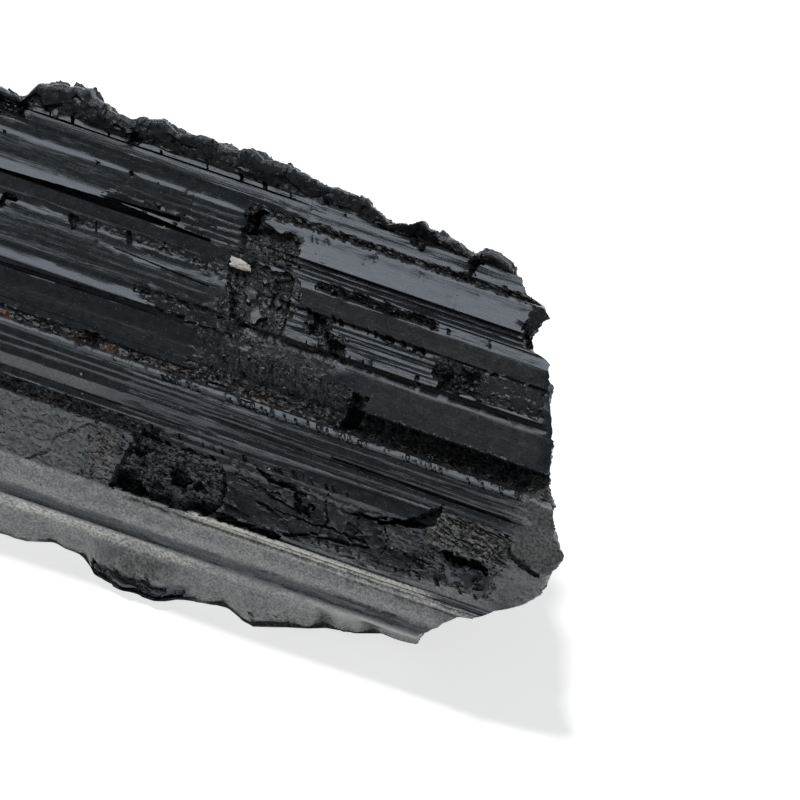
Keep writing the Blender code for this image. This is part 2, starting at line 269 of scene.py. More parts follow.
# Pits and lumps: height, slope along v, how torn, then the corners of their outline as (X, v).
SHAPES = (
    (-1.8, 0, 0, ((3.95, 22), (4.9, 22.1), (5, 20.1), (4.1, 19.9))),  # the notch
    (-0.9, 0, 0, ((3.5, 21.8), (4.1, 21.9), (4.1, 20), (3.7, 20.1))),
    (-0.7, 0, 0, ((5.2, 20.8), (7.8, 21), (9.1, 20.5), (9.6, 19.5), (9.8, 18.7), (9.4, 18.1), (4.4, 18.2),
     (3.9, 19.9))),
    (-0.5, 0, 0, ((4, 16.6), (4.4, 17.5), (7, 17.6), (10.2, 17.5), (10.4, 15.4), (11, 12.5), (6.1, 12.2),
     (5.2, 14.2))),
    (-0.35, 0, 0, ((5, 14.6), (5.6, 14.4), (6.6, 12.3), (6, 12.3))),  # dark edges in the crumbly break
    (-0.4, 0, 0, ((8.6, 16.9), (9.9, 17), (10.1, 14.6), (9.2, 14.2), (8.9, 15.6))),
    (-0.4, 0, 0, ((8.4, 13.3), (9.3, 13.4), (8.8, 12.3), (8.1, 12.3))),
    (0, 0.5, 0.35, ((-3.6, 12.1), (7, 12.2), (7, 10.9), (2, 11), (-0.6, 11.1))),  # end of the light stripe
    (0, 0, 0.5, ((3, 10.9), (7.5, 11), (8, 8.2), (4.5, 7.6), (3.5, 9))),
    # pits in the ledge
    (-0.9, 0, 0, ((12.9, 15.2), (14.2, 15.1), (14.5, 14.2), (13.9, 13.3), (13.1, 13.6))),
    (-1, 0, 0, ((14.4, 14), (15.4, 13.5), (16.8, 13.3), (16.6, 12), (15.9, 12), (15.3, 12.8))),
    (-0.4, 0, 0, ((19.4, 15.1), (20.7, 15.1), (20.5, 14.6), (19.8, 14.6))),
    (-0.4, 0, 0, ((22.4, 15.2), (23.8, 15.1), (23.6, 14.4), (22.8, 14.5))),
    (-0.6, 0.6, 0.9, ((24.5, 14.9), (26.5, 15.2), (29.2, 15.1), (29.3, 13), (27.6, 12.4), (26, 12.6),
     (25.3, 13.6))),
    (-0.5, 0, 0, ((25.6, 13.9), (26.6, 14.1), (26.9, 12.9), (26.1, 12.8))),
    (-0.5, 0, 0, ((27.5, 14.8), (28.9, 14.9), (28.7, 13.7), (27.9, 13.6))),
    # in the crest
    (-0.7, 0.9, 0.7, ((22.8, 24.9), (24.3, 25.3), (24.5, 24.6), (24.4, 22.7), (23.8, 23.4))),
    # dark hump of the crest
    (-0.2, 0.5, 1, ((14.8, 25.1), (18.1, 26.4), (20.2, 25.8), (19.9, 24.7), (18.9, 23.3), (17.4, 24.1),
     (15.3, 24.5))),
    (-0.3, 1.6, 0.8, ((-22.5, 24.9), (-19.2, 24.7), (-18.9, 23.2), (-22.5, 23.3))),
    (0, 0.5, 0.1, ((-9.5, 19), (-8.5, 19.6), (4, 19.6), (4, 18.3), (1, 18.35), (-2, 18.6))),
    (-0.35, 1.1, 0.9, ((12.2, 17.95), (18, 18), (23.8, 17.9), (23.4, 17.25), (14, 17.2), (12.5, 17.45))),
    (-0.4, 0.6, 0.15, ((31.15, 22.3), (33, 22.3), (33, 18.4), (31.9, 18.3), (31.2, 19.2))),
    (-0.15, 0.5, 0.4, ((29.4, 15.1), (34.9, 15.2), (35.9, 12.8), (29.3, 12.6))),  # dark end of the ledge
    # hole at the start of the smooth face
    (-1.4, 0, 0, ((18.9, 9.7), (20.3, 9.5), (20.4, 6.6), (19, 6.5))),
    # the cleft
    (-1.4, 0, 0, ((22.2, -0.25), (25.5, 0.05), (27.2, 0.75), (28.6, 1.55), (29.2, 2.1), (29.75, 2.8),
     (29.95, 2.5), (29.5, 1), (28.5, 0.25), (26.8, -0.05), (24.5, -0.35))),
    # slot
    (-1.4, 0, 0, ((30.6, -0.95), (33, -0.95), (35.2, -1), (35.25, -1.55), (33, -1.5), (31.2, -1.3))),
    (-0.9, 0, 0, ((9.8, -4.35), (13, -4.15), (16, -4.35), (15.8, -4.65), (12.5, -4.6), (10, -4.8))),
    # the curved crack right of the torn pit
    (-0.8, 0, 0, ((12.3, 0.75), (14.5, 0.35), (16.2, 0.3), (17.6, -0.3), (18.3, -1), (18, -1.9), (17, -1.7),
     (16.8, -0.7), (15.6, -0.1), (13.5, 0.2))),
    # the torn pit
    (-0.8, 0, 0.9, ((1.6, 0.9), (4, 0.3), (7.5, 0.4), (9.2, 0.2), (10.2, -2), (9.9, -3.6), (8.6, -4.7),
     (4.5, -4.9), (-0.5, -4.95), (0.1, -3.4), (0.9, -1.4))),
    (-0.9, 0, 0, ((0.1, -4.9), (2.9, -4.8), (2.3, -3.6), (1.4, -3), (0.2, -3.4))),
    (-0.9, 0, 0, ((4.9, -1.7), (6.2, -1.4), (6.8, -2.3), (6.3, -3), (5.2, -2.9))),
    (-0.8, 0, 0, ((7.5, -3.9), (9.5, -3.6), (11.4, -4), (11, -4.75), (8, -4.7))),
    (-0.5, 0, 0, ((0.6, -0.8), (2.2, 0.2), (3, -0.3), (1.6, -1.6))),
    (-0.5, 0, 0, ((36.4, 1.6), (37.2, 0.95), (38.5, 0.35), (40, -0.1), (39.9, -0.4), (38.2, 0.05),
     (37, 0.5))),
    (-0.5, 0, 0, ((-6.1, 7.2), (-4.9, 7.1), (-4.6, 6.3), (-5.5, 6.2))),
    (-0.8, 0, 0, ((-17.6, 16.4), (-16.4, 16.5), (-16.6, 15.6), (-17.3, 15.2))),
    (-0.5, 0, 0, ((-11.4, 16.5), (-10.9, 16.6), (-10.1, 15.5), (-10.5, 15.3))),
    (-0.5, 0, 0, ((-9.4, 25.2), (-8.5, 25), (-8.8, 24), (-9.2, 24.1))),
    (-0.35, -0.7, 0.55, ((-1.2, -10.75), (0.5, -10.5), (3.5, -10.6), (7.6, -10.9), (7.4, -12.4),
     (-1.4, -12.4))),
    (-0.3, 0, 0, ((13.8, -10.9), (17, -10.8), (17.2, -11.5), (14.2, -11.7))),
    (0.2, 0, 0, ((31.5, 22.3), (32.8, 22.2), (32.8, 19), (31.8, 18.9))),  # dark knob
    (0.45, 0, 0, ((31.2, -1.8), (34.3, -1.7), (34.5, -3.6), (31.4, -3.7))),  # block near the tip
    (0, -0.1, 0.85, ((28.3, -0.4), (30, 0.6), (30.6, 2.2), (36.2, 2.2), (36.4, 0.8), (35.9, -0.6),
     (30.8, -0.6))),
)

# Flat chips that catch the light or hide from it: X, v, half-length, half-width, slope along X, slope
# along v, height at their middle.
PLATES = (
    (-15.2, 25.8, 0.5, 0.22, 0.1, -0.1, 0.1), (-16.6, 24.5, 0.4, 0.4, 0.1, -0.1, -0.3),
    (-18.6, 23.6, 0.5, 0.5, 0.2, 0.6, 0.2), (-10.6, 25.4, 0.7, 0.12, 0, -0.1, 0),
    (-4, 25.5, 0.9, 0.12, 0, -0.1, 0), (1.2, 25.1, 0.7, 0.12, 0, -0.1, -0.1),
    (6.7, 21.4, 1.3, 0.5, 0.05, 0.1, -0.3), (6.8, 15.1, 0.75, 0.7, 0.1, -0.05, -0.65),
    (7.95, 13.4, 0.6, 0.75, -0.1, -0.4, -0.6), (6.9, 14.3, 0.3, 0.2, 0, -0.5, -0.5),
    (7.7, 16.4, 0.35, 0.25, 0.1, -0.5, -0.4), (10.7, 15.7, 0.35, 0.25, 0, -0.5, -0.2),
    (9.4, 14.9, 0.4, 0.4, 0.2, -0.1, -0.6), (8.6, 10.6, 0.5, 0.3, -0.2, -0.4, 0),
    (7.8, -2.7, 0.75, 0.6, 0.2, -1, -1.2), (2.3, -2.4, 0.5, 0.35, 0.1, -1.1, -0.9),
    (3.9, -3.6, 0.6, 0.3, -0.2, -0.9, -1.2), (12.6, -2.6, 1.5, 0.8, -0.05, -0.3, -0.1),
    (20.6, -1.1, 1.2, 0.9, 0.1, -0.25, -0.1), (24.6, -1.9, 0.9, 0.5, -0.1, -0.5, -0.1),
    (33.6, -2.8, 0.7, 0.7, 0.1, -0.3, 0.7), (31.9, -2.8, 0.6, 0.8, 0.3, 0.1, 0.4),
    (35.4, -2.6, 0.4, 0.9, -0.4, -0.4, 0.3), (2.3, -11.25, 1.6, 0.35, 0, -0.35, -0.1),
)

# Torn ground: X from and to, v from and to, how torn.
TORN = (
    (-FAR, 15.5, 24.75, 40, 0.9), (14.5, 20, 24.3, 40, 1), (20, 31, 24.9, 40, 0.9),
    (-24, -19.3, 23, 25, 0.9), (22.9, 24.6, 23, 25, 0.9), (3.6, 5.2, 19.9, 22.1, 1),
    (4, 9.6, 18, 20.9, 0.9), (1.5, 4.6, 15.4, 17, 0.5), (4.2, 10.8, 12.2, 17.4, 0.9),
    (6, 10.5, 10.3, 12.5, 0.6), (3.5, 7, 6.3, 8, 0.7), (6.5, 19.5, 6.3, 10, 0.85), (9.5, 16.2, 10, 12, 0.5),
    (-FAR, 4, 6.1, 6.95, 0.7), (18.8, FAR, 6.1, 8.15, 1), (20.5, FAR, 8.1, 8.6, 0.5),
    (-3, 8.3, 12.05, 12.65, 0.6), (4, 31, 22.02, 22.6, 0.7), (-FAR, 3.5, 0.1, 1.25, 0.8),
    (10, 20, -4.4, 0.9, 0.4), (20, 30, -3.7, 0.4, 0.5), (28.5, 36.4, -3.6, -0.6, 0.8),
    (12.8, 14.5, 13.4, 15.2, 0.9), (14.4, 16.9, 12, 13.9, 0.9), (13, 24, 17.2, 17.85, 0.7),
    (-12, 5, 15.9, 16.65, 0.5), (31.2, 34, 18.6, 22.2, 0.2), (-1, 8.2, -13.5, -10.7, 0.45),
    (-6.6, -4.3, 6, 7.2, 0.9), (-FAR, -3, -4.8, 0, 0.4), (-3, -0.2, -4.9, 0.2, 0.8),
    (-FAR, FAR, 5.6, 6.1, 0.12),
)

# Cracks: their points as (X, v), half-width, depth.
CRACKS = (
    (((-8.3, -5), (-7.4, -4.3), (-6.3, -3.5), (-6, -2), (-5.4, -1.7), (-3.2, -0.4)), 0.3, 0.2),
    (((14, -1), (15.4, -1.4), (16.6, -1.6)), 0.12, 0.3),
    (((13.2, -2.1), (15.5, -2.3), (18.3, -2.3)), 0.12, 0.3),
    (((18.4, -2.4), (20.4, -2.1), (22.2, -2.4), (23.6, -2.3)), 0.14, 0.35),
    (((19.6, 0.7), (19.4, -0.4), (19.9, -1.8), (19.5, -2.9)), 0.1, 0.25),
    (((22.6, -0.4), (22.9, -1.4), (22.5, -2.5)), 0.1, 0.25),
    (((25.2, -0.3), (25.6, -1.4), (25.3, -2.8)), 0.1, 0.25),
    (((11.2, -0.6), (13, -0.9), (15.2, -0.8)), 0.1, 0.25),
    (((16.4, -3.9), (18.8, -3.2), (21.6, -3), (24, -2.7)), 0.2, 0.5),
    (((-2.5, 23), (-1.7, 21.6), (-1.5, 20.6), (-1.3, 19.3)), 0.09, 0.07),
    (((8.1, 24.6), (8.9, 22.6)), 0.08, 0.05), (((9.4, 24.9), (10.6, 21.2), (11.2, 19.6)), 0.08, 0.05),
    (((11.1, 24.4), (11.9, 22), (12.3, 20.4)), 0.08, 0.04), (((14.2, 24.2), (14.9, 22.6)), 0.08, 0.04),
    (((4.6, 15.6), (6.1, 12.4)), 0.12, 0.3), (((9.9, 17.4), (10.3, 15.2), (10.9, 12.6)), 0.1, 0.3),
)

# Dust: v from and to, X from and to, share.
DUSTY = (
    (-7.5, -5.6, -FAR, 31, 0.33),  # sandy foot face
    (-5.3, -4.8, 8, 30, 1.4),  # its bright top edge
    (-5.7, -5.3, 8, 35, 0.6), (-5.5, -5.1, -FAR, 8, 0.5), (-4.7, -3.6, 19, 36, 0.22),
    (-8.5, -7.5, -FAR, 31, 0.07),
    (-9.3, -8.7, -FAR, 8, 0.75),  # bright line between the lower faces
    (-9.3, -8.8, 8, 29, 0.42),
    (-12.5, -9.35, -FAR, -1.8, 0.27),  # lowest face
    (-10.6, -9.35, -1.8, 8.2, 0.27), (-12.5, -9.35, 8.2, FAR, 0.27), (-8, -5.6, 29, FAR, 0.2),
    (-3.5, 2.2, 35.8, FAR, 0.17),  # the right end
    (1.8, 8, 36.8, FAR, 0.17), (2.1, 3.1, -FAR, -3, 0.1), (-4.9, 0, -FAR, -0.5, 0.13),
    (-0.6, 2.3, 29.5, 36, 0.25), (8.5, 11.4, 19.5, 36.5, 0.025), (15.4, 16.9, 11, 34, 0.02),
    (-3.6, -0.6, 22, 36, 0.03),
    (18, 20.9, 4, 9.7, 0.045),  # powder in the crumbly break
    (12.3, 17.5, 4.2, 10.8, 0.05), (9.8, 12.2, 8, 16, 0.035), (6.4, 9.8, 7, 19, 0.02),
    (12.7, 15, 24.6, 35, 0.03), (-4.4, 0.9, 10, 22, 0.02),
)

# Rust and clay stains: X, v, half-length, half-width, share.
STAINS = (
    (-13.3, 6.4, 0.7, 0.4, 0.5), (-7, 6.7, 1, 0.3, 0.25), (-5.6, 6.9, 0.6, 0.25, 0.6),
    (-3.5, 6.4, 0.9, 0.3, 0.5), (2, 6.6, 4, 0.4, 0.16), (11, 6.7, 5, 0.5, 0.13),
    (12.3, -6.5, 0.6, 0.4, 0.45), (30.5, 0.3, 0.3, 0.25, 0.9), (-8, 0.6, 2.4, 0.35, 0.12),
    (-1.7, -2.2, 1.3, 2.4, 0.14), (10.6, -1.4, 1.2, 0.6, 0.1), (27, 7.4, 5, 0.7, 0.06),
)

# Pale grains of dust that show one by one: X, v.
GRAINS = (
    (-2.6, 18.15), (1.3, 11.9), (-1.6, 11.4), (-5, 3.7), (-4.6, 1.9), (-9.1, -2.9), (4.9, 7), (6, 7),
    (6.6, 7.7), (24.5, 11.5), (10.9, -7.7), (11.8, -8.3), (11.1, -9.4), (-0.3, 0.3), (14, 1), (12.8, 8.1),
    (-7.4, -6.6), (-7, -6.7), (2.7, 18.4), (26.2, -2.1), (19.2, 5.9),
)

# The pale fleck: X, v, length, width, thickness; and its points along and across.
FLECK = (4.95, 17.12, 2.0, 0.9, 0.4)
FLECK_GRID = (15, 7)

# ---- Loose matter on the crystal ----
SHARDS = 2600
SHARD_SIZES = (0.09, 0.3)  # smallest and largest radius
DUST_GRAINS = 900
DUST_SIZES = (0.02, 0.065)
GRAIN_SIZE = 0.13

# ---- Colours ----
WHOLE_BLACK = ((0.009, 0.011, 0.013), (0.022, 0.025, 0.028))
BROKEN_BLACK = ((0.006, 0.007, 0.008), (0.026, 0.027, 0.028))
SPECK_GREY = (0.30, 0.30, 0.30)
RUST_BROWN = (0.20, 0.10, 0.055)
DUST_GREY = (0.65, 0.64, 0.60)
SHARD_BLACK = ((0.01, 0.011, 0.012), (0.03, 0.03, 0.03))
GRAIN_COLOURS = ((0.30, 0.27, 0.23), (0.6, 0.56, 0.5))
FLECK_COLOURS = ((0.66, 0.60, 0.54), (0.92, 0.90, 0.87))
FLOOR_GREY = (0.86, 0.86, 0.86, 1.0)
WORLD_TINT = (0.95, 0.98, 1.0, 1.0)
GLOSS_TINT = (0.80, 0.90, 1.0, 1.0)
TOURMALINE_IOR = 1.63

# ---- Camera ----
VIEW_AZIMUTH = 24.0
VIEW_ELEVATION = 50.0
VIEW_CENTRE = (23.1, -4.3, 22.7)  # the point at the middle of the image
VIEW_WIDTH = 69.92  # width seen at that point
SENSOR = 36.0
LENS = 1600.0

# ---- Light ----
KEY_FROM = (-0.30, 0.42, 0.86)  # the direction it comes from
KEY_AWAY = 0.6  # metres
KEY_POWER = 1.7
SUN_FROM = (-0.20, 0.27, 0.94)
SUN_POWER = 1.6
SUN_WIDTH = 7.0  # degrees
WORLD_POWER = 0.15
FLOOR_GLOW = 0.66
FLOOR_WIDTH = 3.0  # metres
FLOOR_GAP = 0.00003  # metres between the floor and the resting face


def smooth_step(low, high, value):
    """0 at low, 1 at high, and smooth between."""
    share = np.clip((value - low) / (high - low), 0.0, 1.0)
    return share * share * (3.0 - 2.0 * share)


def chart_v(y, z):
    """How high up the front a place is."""
    return V_FROM_Y * y + V_FROM_Z * z


def stretch(value, start, end, soft):
    """1 from start to end, fading to 0 over the width soft outside them."""
    return smooth_step(start - soft, start, value) * (1.0 - smooth_step(end, end + soft, value))


def along_line(points, value):
    """The second number of a list of pairs where the first one is value."""
    places, results = zip(*points)
    return np.interp(value, places, results)


def random_numbers(seed):
    """A source of random numbers that is the same in every run."""
    return np.random.default_rng(SEED + seed)


def lattice_noise(x, y, z, grain, seed):
    """Smooth noise from -1 to 1 whose lumps are about as long as grain."""
    lattice = random_numbers(seed).uniform(-1.0, 1.0, (NOISE_CELLS,) * 3)
    cells = [np.floor(c / grain).astype(int) for c in (x, y, z)]
    parts = [smooth_step(0.0, 1.0, c / grain - n) for c, n in zip((x, y, z), cells)]
    total = 0.0
    for corner in np.ndindex(2, 2, 2):
        weight = 1.0
        for part, side in zip(parts, corner):
            weight = weight * (part if side else 1.0 - part)
        index = tuple((n + side) % NOISE_CELLS for n, side in zip(cells, corner))
        total = total + weight * lattice[index]
    return total


def flat_noise(x, v, grain, seed):
    """The same noise over two coordinates."""
    return lattice_noise(x, v, 0.0 * x, grain, seed)


def growth_lines(x, v, pitch, run, seed):
    """Lines along the crystal, from -1 to 1: sharp creases about a pitch apart that change over a run."""
    table = random_numbers(seed).uniform(-1.0, 1.0, LINE_CELLS)
    along, across = x / run, v / pitch + flat_noise(0.0 * x, v, 1.7, seed + 1) * 1.2
    row, column = np.floor(along).astype(int), np.floor(across).astype(int)
    along, across = smooth_step(0.0, 1.0, along - row), across - column
    total = 0.0
    for next_row, next_column in np.ndindex(2, 2):
        weight = (along if next_row else 1.0 - along) * (across if next_column else 1.0 - across)
        cell_row, cell_column = (row + next_row) % LINE_CELLS[0], (column + next_column) % LINE_CELLS[1]
        total = total + weight * table[cell_row, cell_column]
    return total


def chips(along, across, size, seed, steps, tilt):
    """Broken ground: flat chips about as wide as size, each at its own height and tilt."""
    table = random_numbers(seed).uniform(-1.0, 1.0, (CHIP_CELLS, CHIP_CELLS, 5))
    at_along, at_across = along / size, across / size
    row, column = np.floor(at_along).astype(int), np.floor(at_across).astype(int)
    nearest = np.full(np.shape(along), 9.0)
    height = np.zeros(np.shape(along))
    for next_row, next_column in np.ndindex(3, 3):
        cell_row, cell_column = row + next_row - 1, column + next_column - 1
        chance = table[cell_row % CHIP_CELLS, cell_column % CHIP_CELLS]
        away_along = at_along - cell_row - 0.5 - chance[..., 0] * 0.45
        away_across = at_across - cell_column - 0.5 - chance[..., 1] * 0.45
        distance = away_along**2 + away_across**2
        slope = away_along * chance[..., 2] + away_across * chance[..., 3]
        tilted = slope * tilt + chance[..., 4] * steps
        closer = distance < nearest
        nearest = np.where(closer, distance, nearest)
        height = np.where(closer, tilted, height)
    return height * size


def break_surface(y, z, planes):
    """X of a broken end at Y and Z, no further out than the crystal's reach."""
    right = planes is RIGHT_BREAKS
    side, reach = (1.0, RIGHT_REACH) if right else (-1.0, LEFT_REACH)
    seed = 70 if right else 60
    level = np.minimum.reduce([side * (x + per_y * y + per_z * z) for x, per_y, per_z in planes])
    level = level + flat_noise(y, z, 6.0, seed) * BREAK_WAVES
    level = level + flat_noise(y, z, 1.9, seed + 1) * BREAK_RIM * 0.5
    for spur_y, spur_z, radius, out in RIGHT_SPURS if right else ():
        away = np.hypot(y - spur_y, z - spur_z) / radius
        level = level + out * (1.0 - smooth_step(0.4, 1.0, away))
    level = level + chips(y, z * 0.7, 2.2, seed + 2, 0.1, 0.3)
    level = level + chips(y, z, 0.8, seed + 3, 0.09, 0.25) + chips(y, z, 0.35, seed + 4, 0.09, 0.3)
    return side * np.minimum(level, reach - 0.15)


def right_rim(break_x, v, place):
    """X of the right end's rim: along the front as the camera sees it, elsewhere where the break is."""
    seen = smooth_step(0.5, 2.0, place) * (1.0 - smooth_step(21.5, REST_EDGE, place))
    rim = along_line(RIGHT_RIM, v) + flat_noise(v, v, 0.5, 75) * 0.15
    return break_x * (1.0 - seen) + np.minimum(rim, RIGHT_REACH - 0.15) * seen


def outline_columns():
    """Y, Z, place in OUTLINE, distance and direction of relief (Y, Z) of each column of points."""
    y, z, place = [], [], []
    for edge, (start_y, start_z) in enumerate(OUTLINE):
        end_y, end_z = OUTLINE[(edge + 1) % len(OUTLINE)]
        pitch = FRONT_PITCH if edge < REST_EDGE else BACK_PITCH
        columns = max(2, round(np.hypot(end_y - start_y, end_z - start_z) / pitch))
        share = np.arange(columns) / columns
        y.append(start_y + (end_y - start_y) * share)
        z.append(start_z + (end_z - start_z) * share)
        place.append(edge + share)
    y, z, place = (np.concatenate(part) for part in (y, z, place))
    run_y, run_z = np.roll(y, -1) - y, np.roll(z, -1) - z
    length = np.hypot(run_y, run_z)
    around = np.cumsum(length) - length
    out_y, out_z = round_off(run_z / length), round_off(-run_y / length)
    front = smooth_step(0.6, 2.6, place) * (1.0 - smooth_step(21.0, REST_EDGE, place))
    out_y = out_y * (1.0 - front) - V_FROM_Z * front
    out_z = out_z * (1.0 - front) + V_FROM_Y * front
    size = np.hypot(out_y, out_z)
    return y, z, out_y / size, out_z / size, place, around


def round_off(values):
    """Evens values out round the ring, so that neighbouring points stand out nearly the same way."""
    for _ in range(ROUNDING):
        values = (np.roll(values, 1) + 2.0 * values + np.roll(values, -1)) / 4.0
    return values


def edge_shift(x, y, z):
    """How far the crest and the foot move in Y and Z to follow their edges."""
    v = chart_v(y, z)
    crest = along_line(CREST_TOP, x) + flat_noise(x, 0.0 * x, 0.9, 11) * 0.16 - CREST_V
    rise = crest * np.clip((v - CREST_ROOT_V) / (CREST_V - CREST_ROOT_V), 0.0, 1.1)
    foot = along_line(FOOT_EDGE, x) + flat_noise(x, 0.0 * x, 1.1, 12) * 0.18 - FOOT_V
    forward = np.clip((REST_BACK - y) / (REST_BACK - REST_FRONT), 0.0, 1.1)
    foot = foot * smooth_step(FOOT_HEIGHT, 1.0, z) * forward
    lift = FOOT_LIFT * smooth_step(FOOT_LIFT_ENDS, REST_FRONT, y) * smooth_step(1.5, 0.0, z)
    return V_FROM_Y * rise + foot / V_FROM_Y, V_FROM_Z * rise + lift


def terrace_height(x, v):
    """Stepped breaks: slopes that face the light, one below the other."""
    height = 0.0 * x
    for row, (low, high, start, end, rise, run, lumps, broken) in enumerate(TERRACES):
        waves = flat_noise(x * 0.6, v, lumps, 20 + row) * lumps * 0.55
        breaks = chips(x * 0.7, v, lumps, 30 + row, broken, 0.2)
        climb = (x * 0.22 + v * 0.9 + waves + breaks) / run
        step = (0.5 - (climb - np.floor(climb))) * rise
        height = height + step * stretch(v, low, high, 0.3) * stretch(x, start, end, 1.5)
    return height


def facet_height(x, v):
    """The growth facets left and right of the crumbly break, and what is left of them across it."""
    left, right = (along_line(facets[::-1], v) for facets in (LEFT_FACETS, RIGHT_FACETS))
    ragged = flat_noise(x, v, 1.1, 90) * 0.7
    change = smooth_step(LEFT_ENDS, RIGHT_STARTS, x + ragged)
    middle = stretch(v, 6.1, 9.8, 0.3) * smooth_step(MIDDLE_ENDS, MIDDLE_ENDS - 0.2, x)
    right = right * (1.0 - middle) + along_line(MIDDLE_FACETS[::-1], v) * middle
    return left * (1.0 - change) + right * change


def slanting_edges(x, start, end, top_start, top_end, low_start, low_end):
    """Upper and lower edge of a slanting strip at each X."""
    share = (x - start) / (end - start)
    return top_start + (top_end - top_start) * share, low_start + (low_end - low_start) * share


def strip_height(x, v):
    """The slanting strips."""
    height = 0.0 * x
    for start, end, *edges, rise in STRIPS:
        top, low = slanting_edges(x, start, end, *edges)
        inside = smooth_step(top, top - 0.09, v) * smooth_step(low, low + 0.09, v)
        height = np.minimum(height, inside * stretch(x, start, end, 0.1) * rise)
    return height


def wedge_height(x, v, height):
    """The black wedges, cut into the relief."""
    floor = along_line(WEDGE_FLOOR[::-1], v)
    for start, end, *edges in WEDGES:
        top, low = slanting_edges(x, start, end, *edges)
        inside = smooth_step(top, top - 0.08, v) * smooth_step(low - 0.04, low + 0.04, v)
        inside = inside * stretch(x, start, end, 0.02)
        height = height * (1.0 - inside) + floor * inside
    return height


def line_depth(x, v):
    """How deep the growth lines are: deepest on the striated bands."""
    depth = 0.012
    for low, high, start, end, height in LINED:
        depth = depth + stretch(v, low, high, 0.12) * stretch(x, start, end, 1.5) * height
    return depth


def line_pattern(x, v):
    """Growth lines of three sizes laid over each other, from about -1 to 1."""
    fine = growth_lines(x, v, 0.2, 24.0, 40)
    middle = growth_lines(x, v, 0.32, 34.0, 42)
    coarse = growth_lines(x, v, 0.6, 45.0, 44)
    return fine * 0.6 + middle * 0.8 + coarse * 0.4


def wavy_height(x, v):
    """The slight unevenness of the smooth faces, with small dents."""
    waves = flat_noise(x * 0.25, v, 0.7, 54) * 0.022 + flat_noise(x * 0.5, v, 0.3, 55) * 0.009
    dents = smooth_step(0.7, 0.85, flat_noise(x * 0.6, v, 0.32, 56)) * 0.02
    return waves - dents


def nick_height(x, v):
    """Rows of small slanting nicks."""
    height = 0.0 * x
    for row, (low, high, start, end, spacing, depth) in enumerate(NICKS):
        table = random_numbers(200 + row).uniform(0.0, 1.0, (NICK_CELLS, 4))
        slanted = x + (v - low) * 0.5
        cell = np.floor(slanted / spacing).astype(int)
        chance = table[cell % NICK_CELLS]
        centre = (cell + 0.25 + 0.5 * chance[..., 0]) * spacing
        half = 0.06 + 0.2 * chance[..., 1] ** 2
        notch = 1.0 - smooth_step(0.5, 1.0, np.abs(slanted - centre) / half)
        reach = high - (high - low) * 0.6 * chance[..., 3]
        notch = notch * (chance[..., 2] > 0.35) * stretch(v, low, reach, 0.08)
        notch = notch * stretch(x, start, end, 0.2)
        height = height - notch * depth * (0.5 + chance[..., 1])
    return height


def line_distance(x, v, start, end):
    """How far each place is from a straight line between two others."""
    run_x, run_v = end[0] - start[0], end[1] - start[1]
    share = ((x - start[0]) * run_x + (v - start[1]) * run_v) / (run_x**2 + run_v**2)
    share = np.clip(share, 0.0, 1.0)
    return np.hypot(x - start[0] - run_x * share, v - start[1] - run_v * share)


def places_near(x, v, corners, margin=1.0):
    """Which places lie in or near the box round some points."""
    (low_x, low_v), (high_x, high_v) = np.min(corners, axis=0), np.max(corners, axis=0)
    near_x = (x > low_x - margin) & (x < high_x + margin)
    return near_x & (v > low_v - margin) & (v < high_v + margin)


def shape_share(x, v, corners, soft):
    """1 inside a shape with these corners, fading to 0 across its edges over the width soft."""
    inside = np.zeros(x.shape, dtype=bool)
    away = np.full(x.shape, FAR)
    for start, end in zip(corners, corners[1:] + corners[:1]):
        away = np.minimum(away, line_distance(x, v, start, end))
        if start[1] != end[1]:
            crossing = (end[0] - start[0]) * (v - start[1]) / (end[1] - start[1]) + start[0]
            inside ^= ((start[1] > v) != (end[1] > v)) & (x < crossing)
    return smooth_step(-soft / 2, soft / 2, np.where(inside, away, -away))


def jagged(x, v):
    """Places moved a little, in angular steps, so that what is drawn there gets broken edges."""
    step_x = chips(x, v, 0.5, 65, 0.45, 0.3) + flat_noise(x, v, 0.8, 64) * 0.15
    step_v = chips(x, v, 0.6, 67, 0.3, 0.2) + flat_noise(x, v, 0.8, 68) * 0.1
    return x + step_x, v + step_v


def shape_height(x, v, torn):
    """Pits and lumps, with broken edges, and how torn the front is with them."""
    height = 0.0 * x
    torn = torn.copy()
    moved_x, moved_v = jagged(x, v)
    for rise, slope, torn_here, corners in SHAPES:
        near = places_near(x, v, corners)
        share = shape_share(moved_x[near], moved_v[near], corners, 0.16)
        middle_v = np.mean(corners, axis=0)[1]
        height[near] += share * (rise + slope * (v[near] - middle_v))
        torn[near] = np.maximum(torn[near], share * torn_here)
    return height, torn


def plate_height(x, v, height, torn):
    """Flat chips laid into the relief, and how torn the ground is around them."""
    ragged = flat_noise(x, v, 0.35, 66) * 0.2
    for plate_x, plate_v, half_x, half_v, slope_x, slope_v, level in PLATES:
        away_x, away_v = x - plate_x, v - plate_v
        away = np.abs(away_x / half_x + away_v / half_v * 0.35) + np.abs(away_v / half_v) * 0.8 + ragged
        inside = 1.0 - smooth_step(0.95, 1.1, away)
        plate = level + away_x * slope_x + away_v * slope_v
        height = height * (1.0 - inside) + plate * inside
        torn = torn * (1.0 - 0.85 * inside)
    return height, torn


def torn_share(x, v):
    """How torn the front is at each point, from 0 to 1."""
    jag_x = flat_noise(x, v, 0.8, 45) * 0.5 + flat_noise(x, v, 2.6, 46) * 0.5
    jag_v = flat_noise(x, v, 0.6, 47) * 0.2
    torn = 0.0 * x
    for start, end, low, high, share in TORN:
        inside = stretch(x + jag_x, start, end, 0.2) * stretch(v + jag_v, low, high, 0.1)
        torn = np.maximum(torn, inside * share)
    return torn


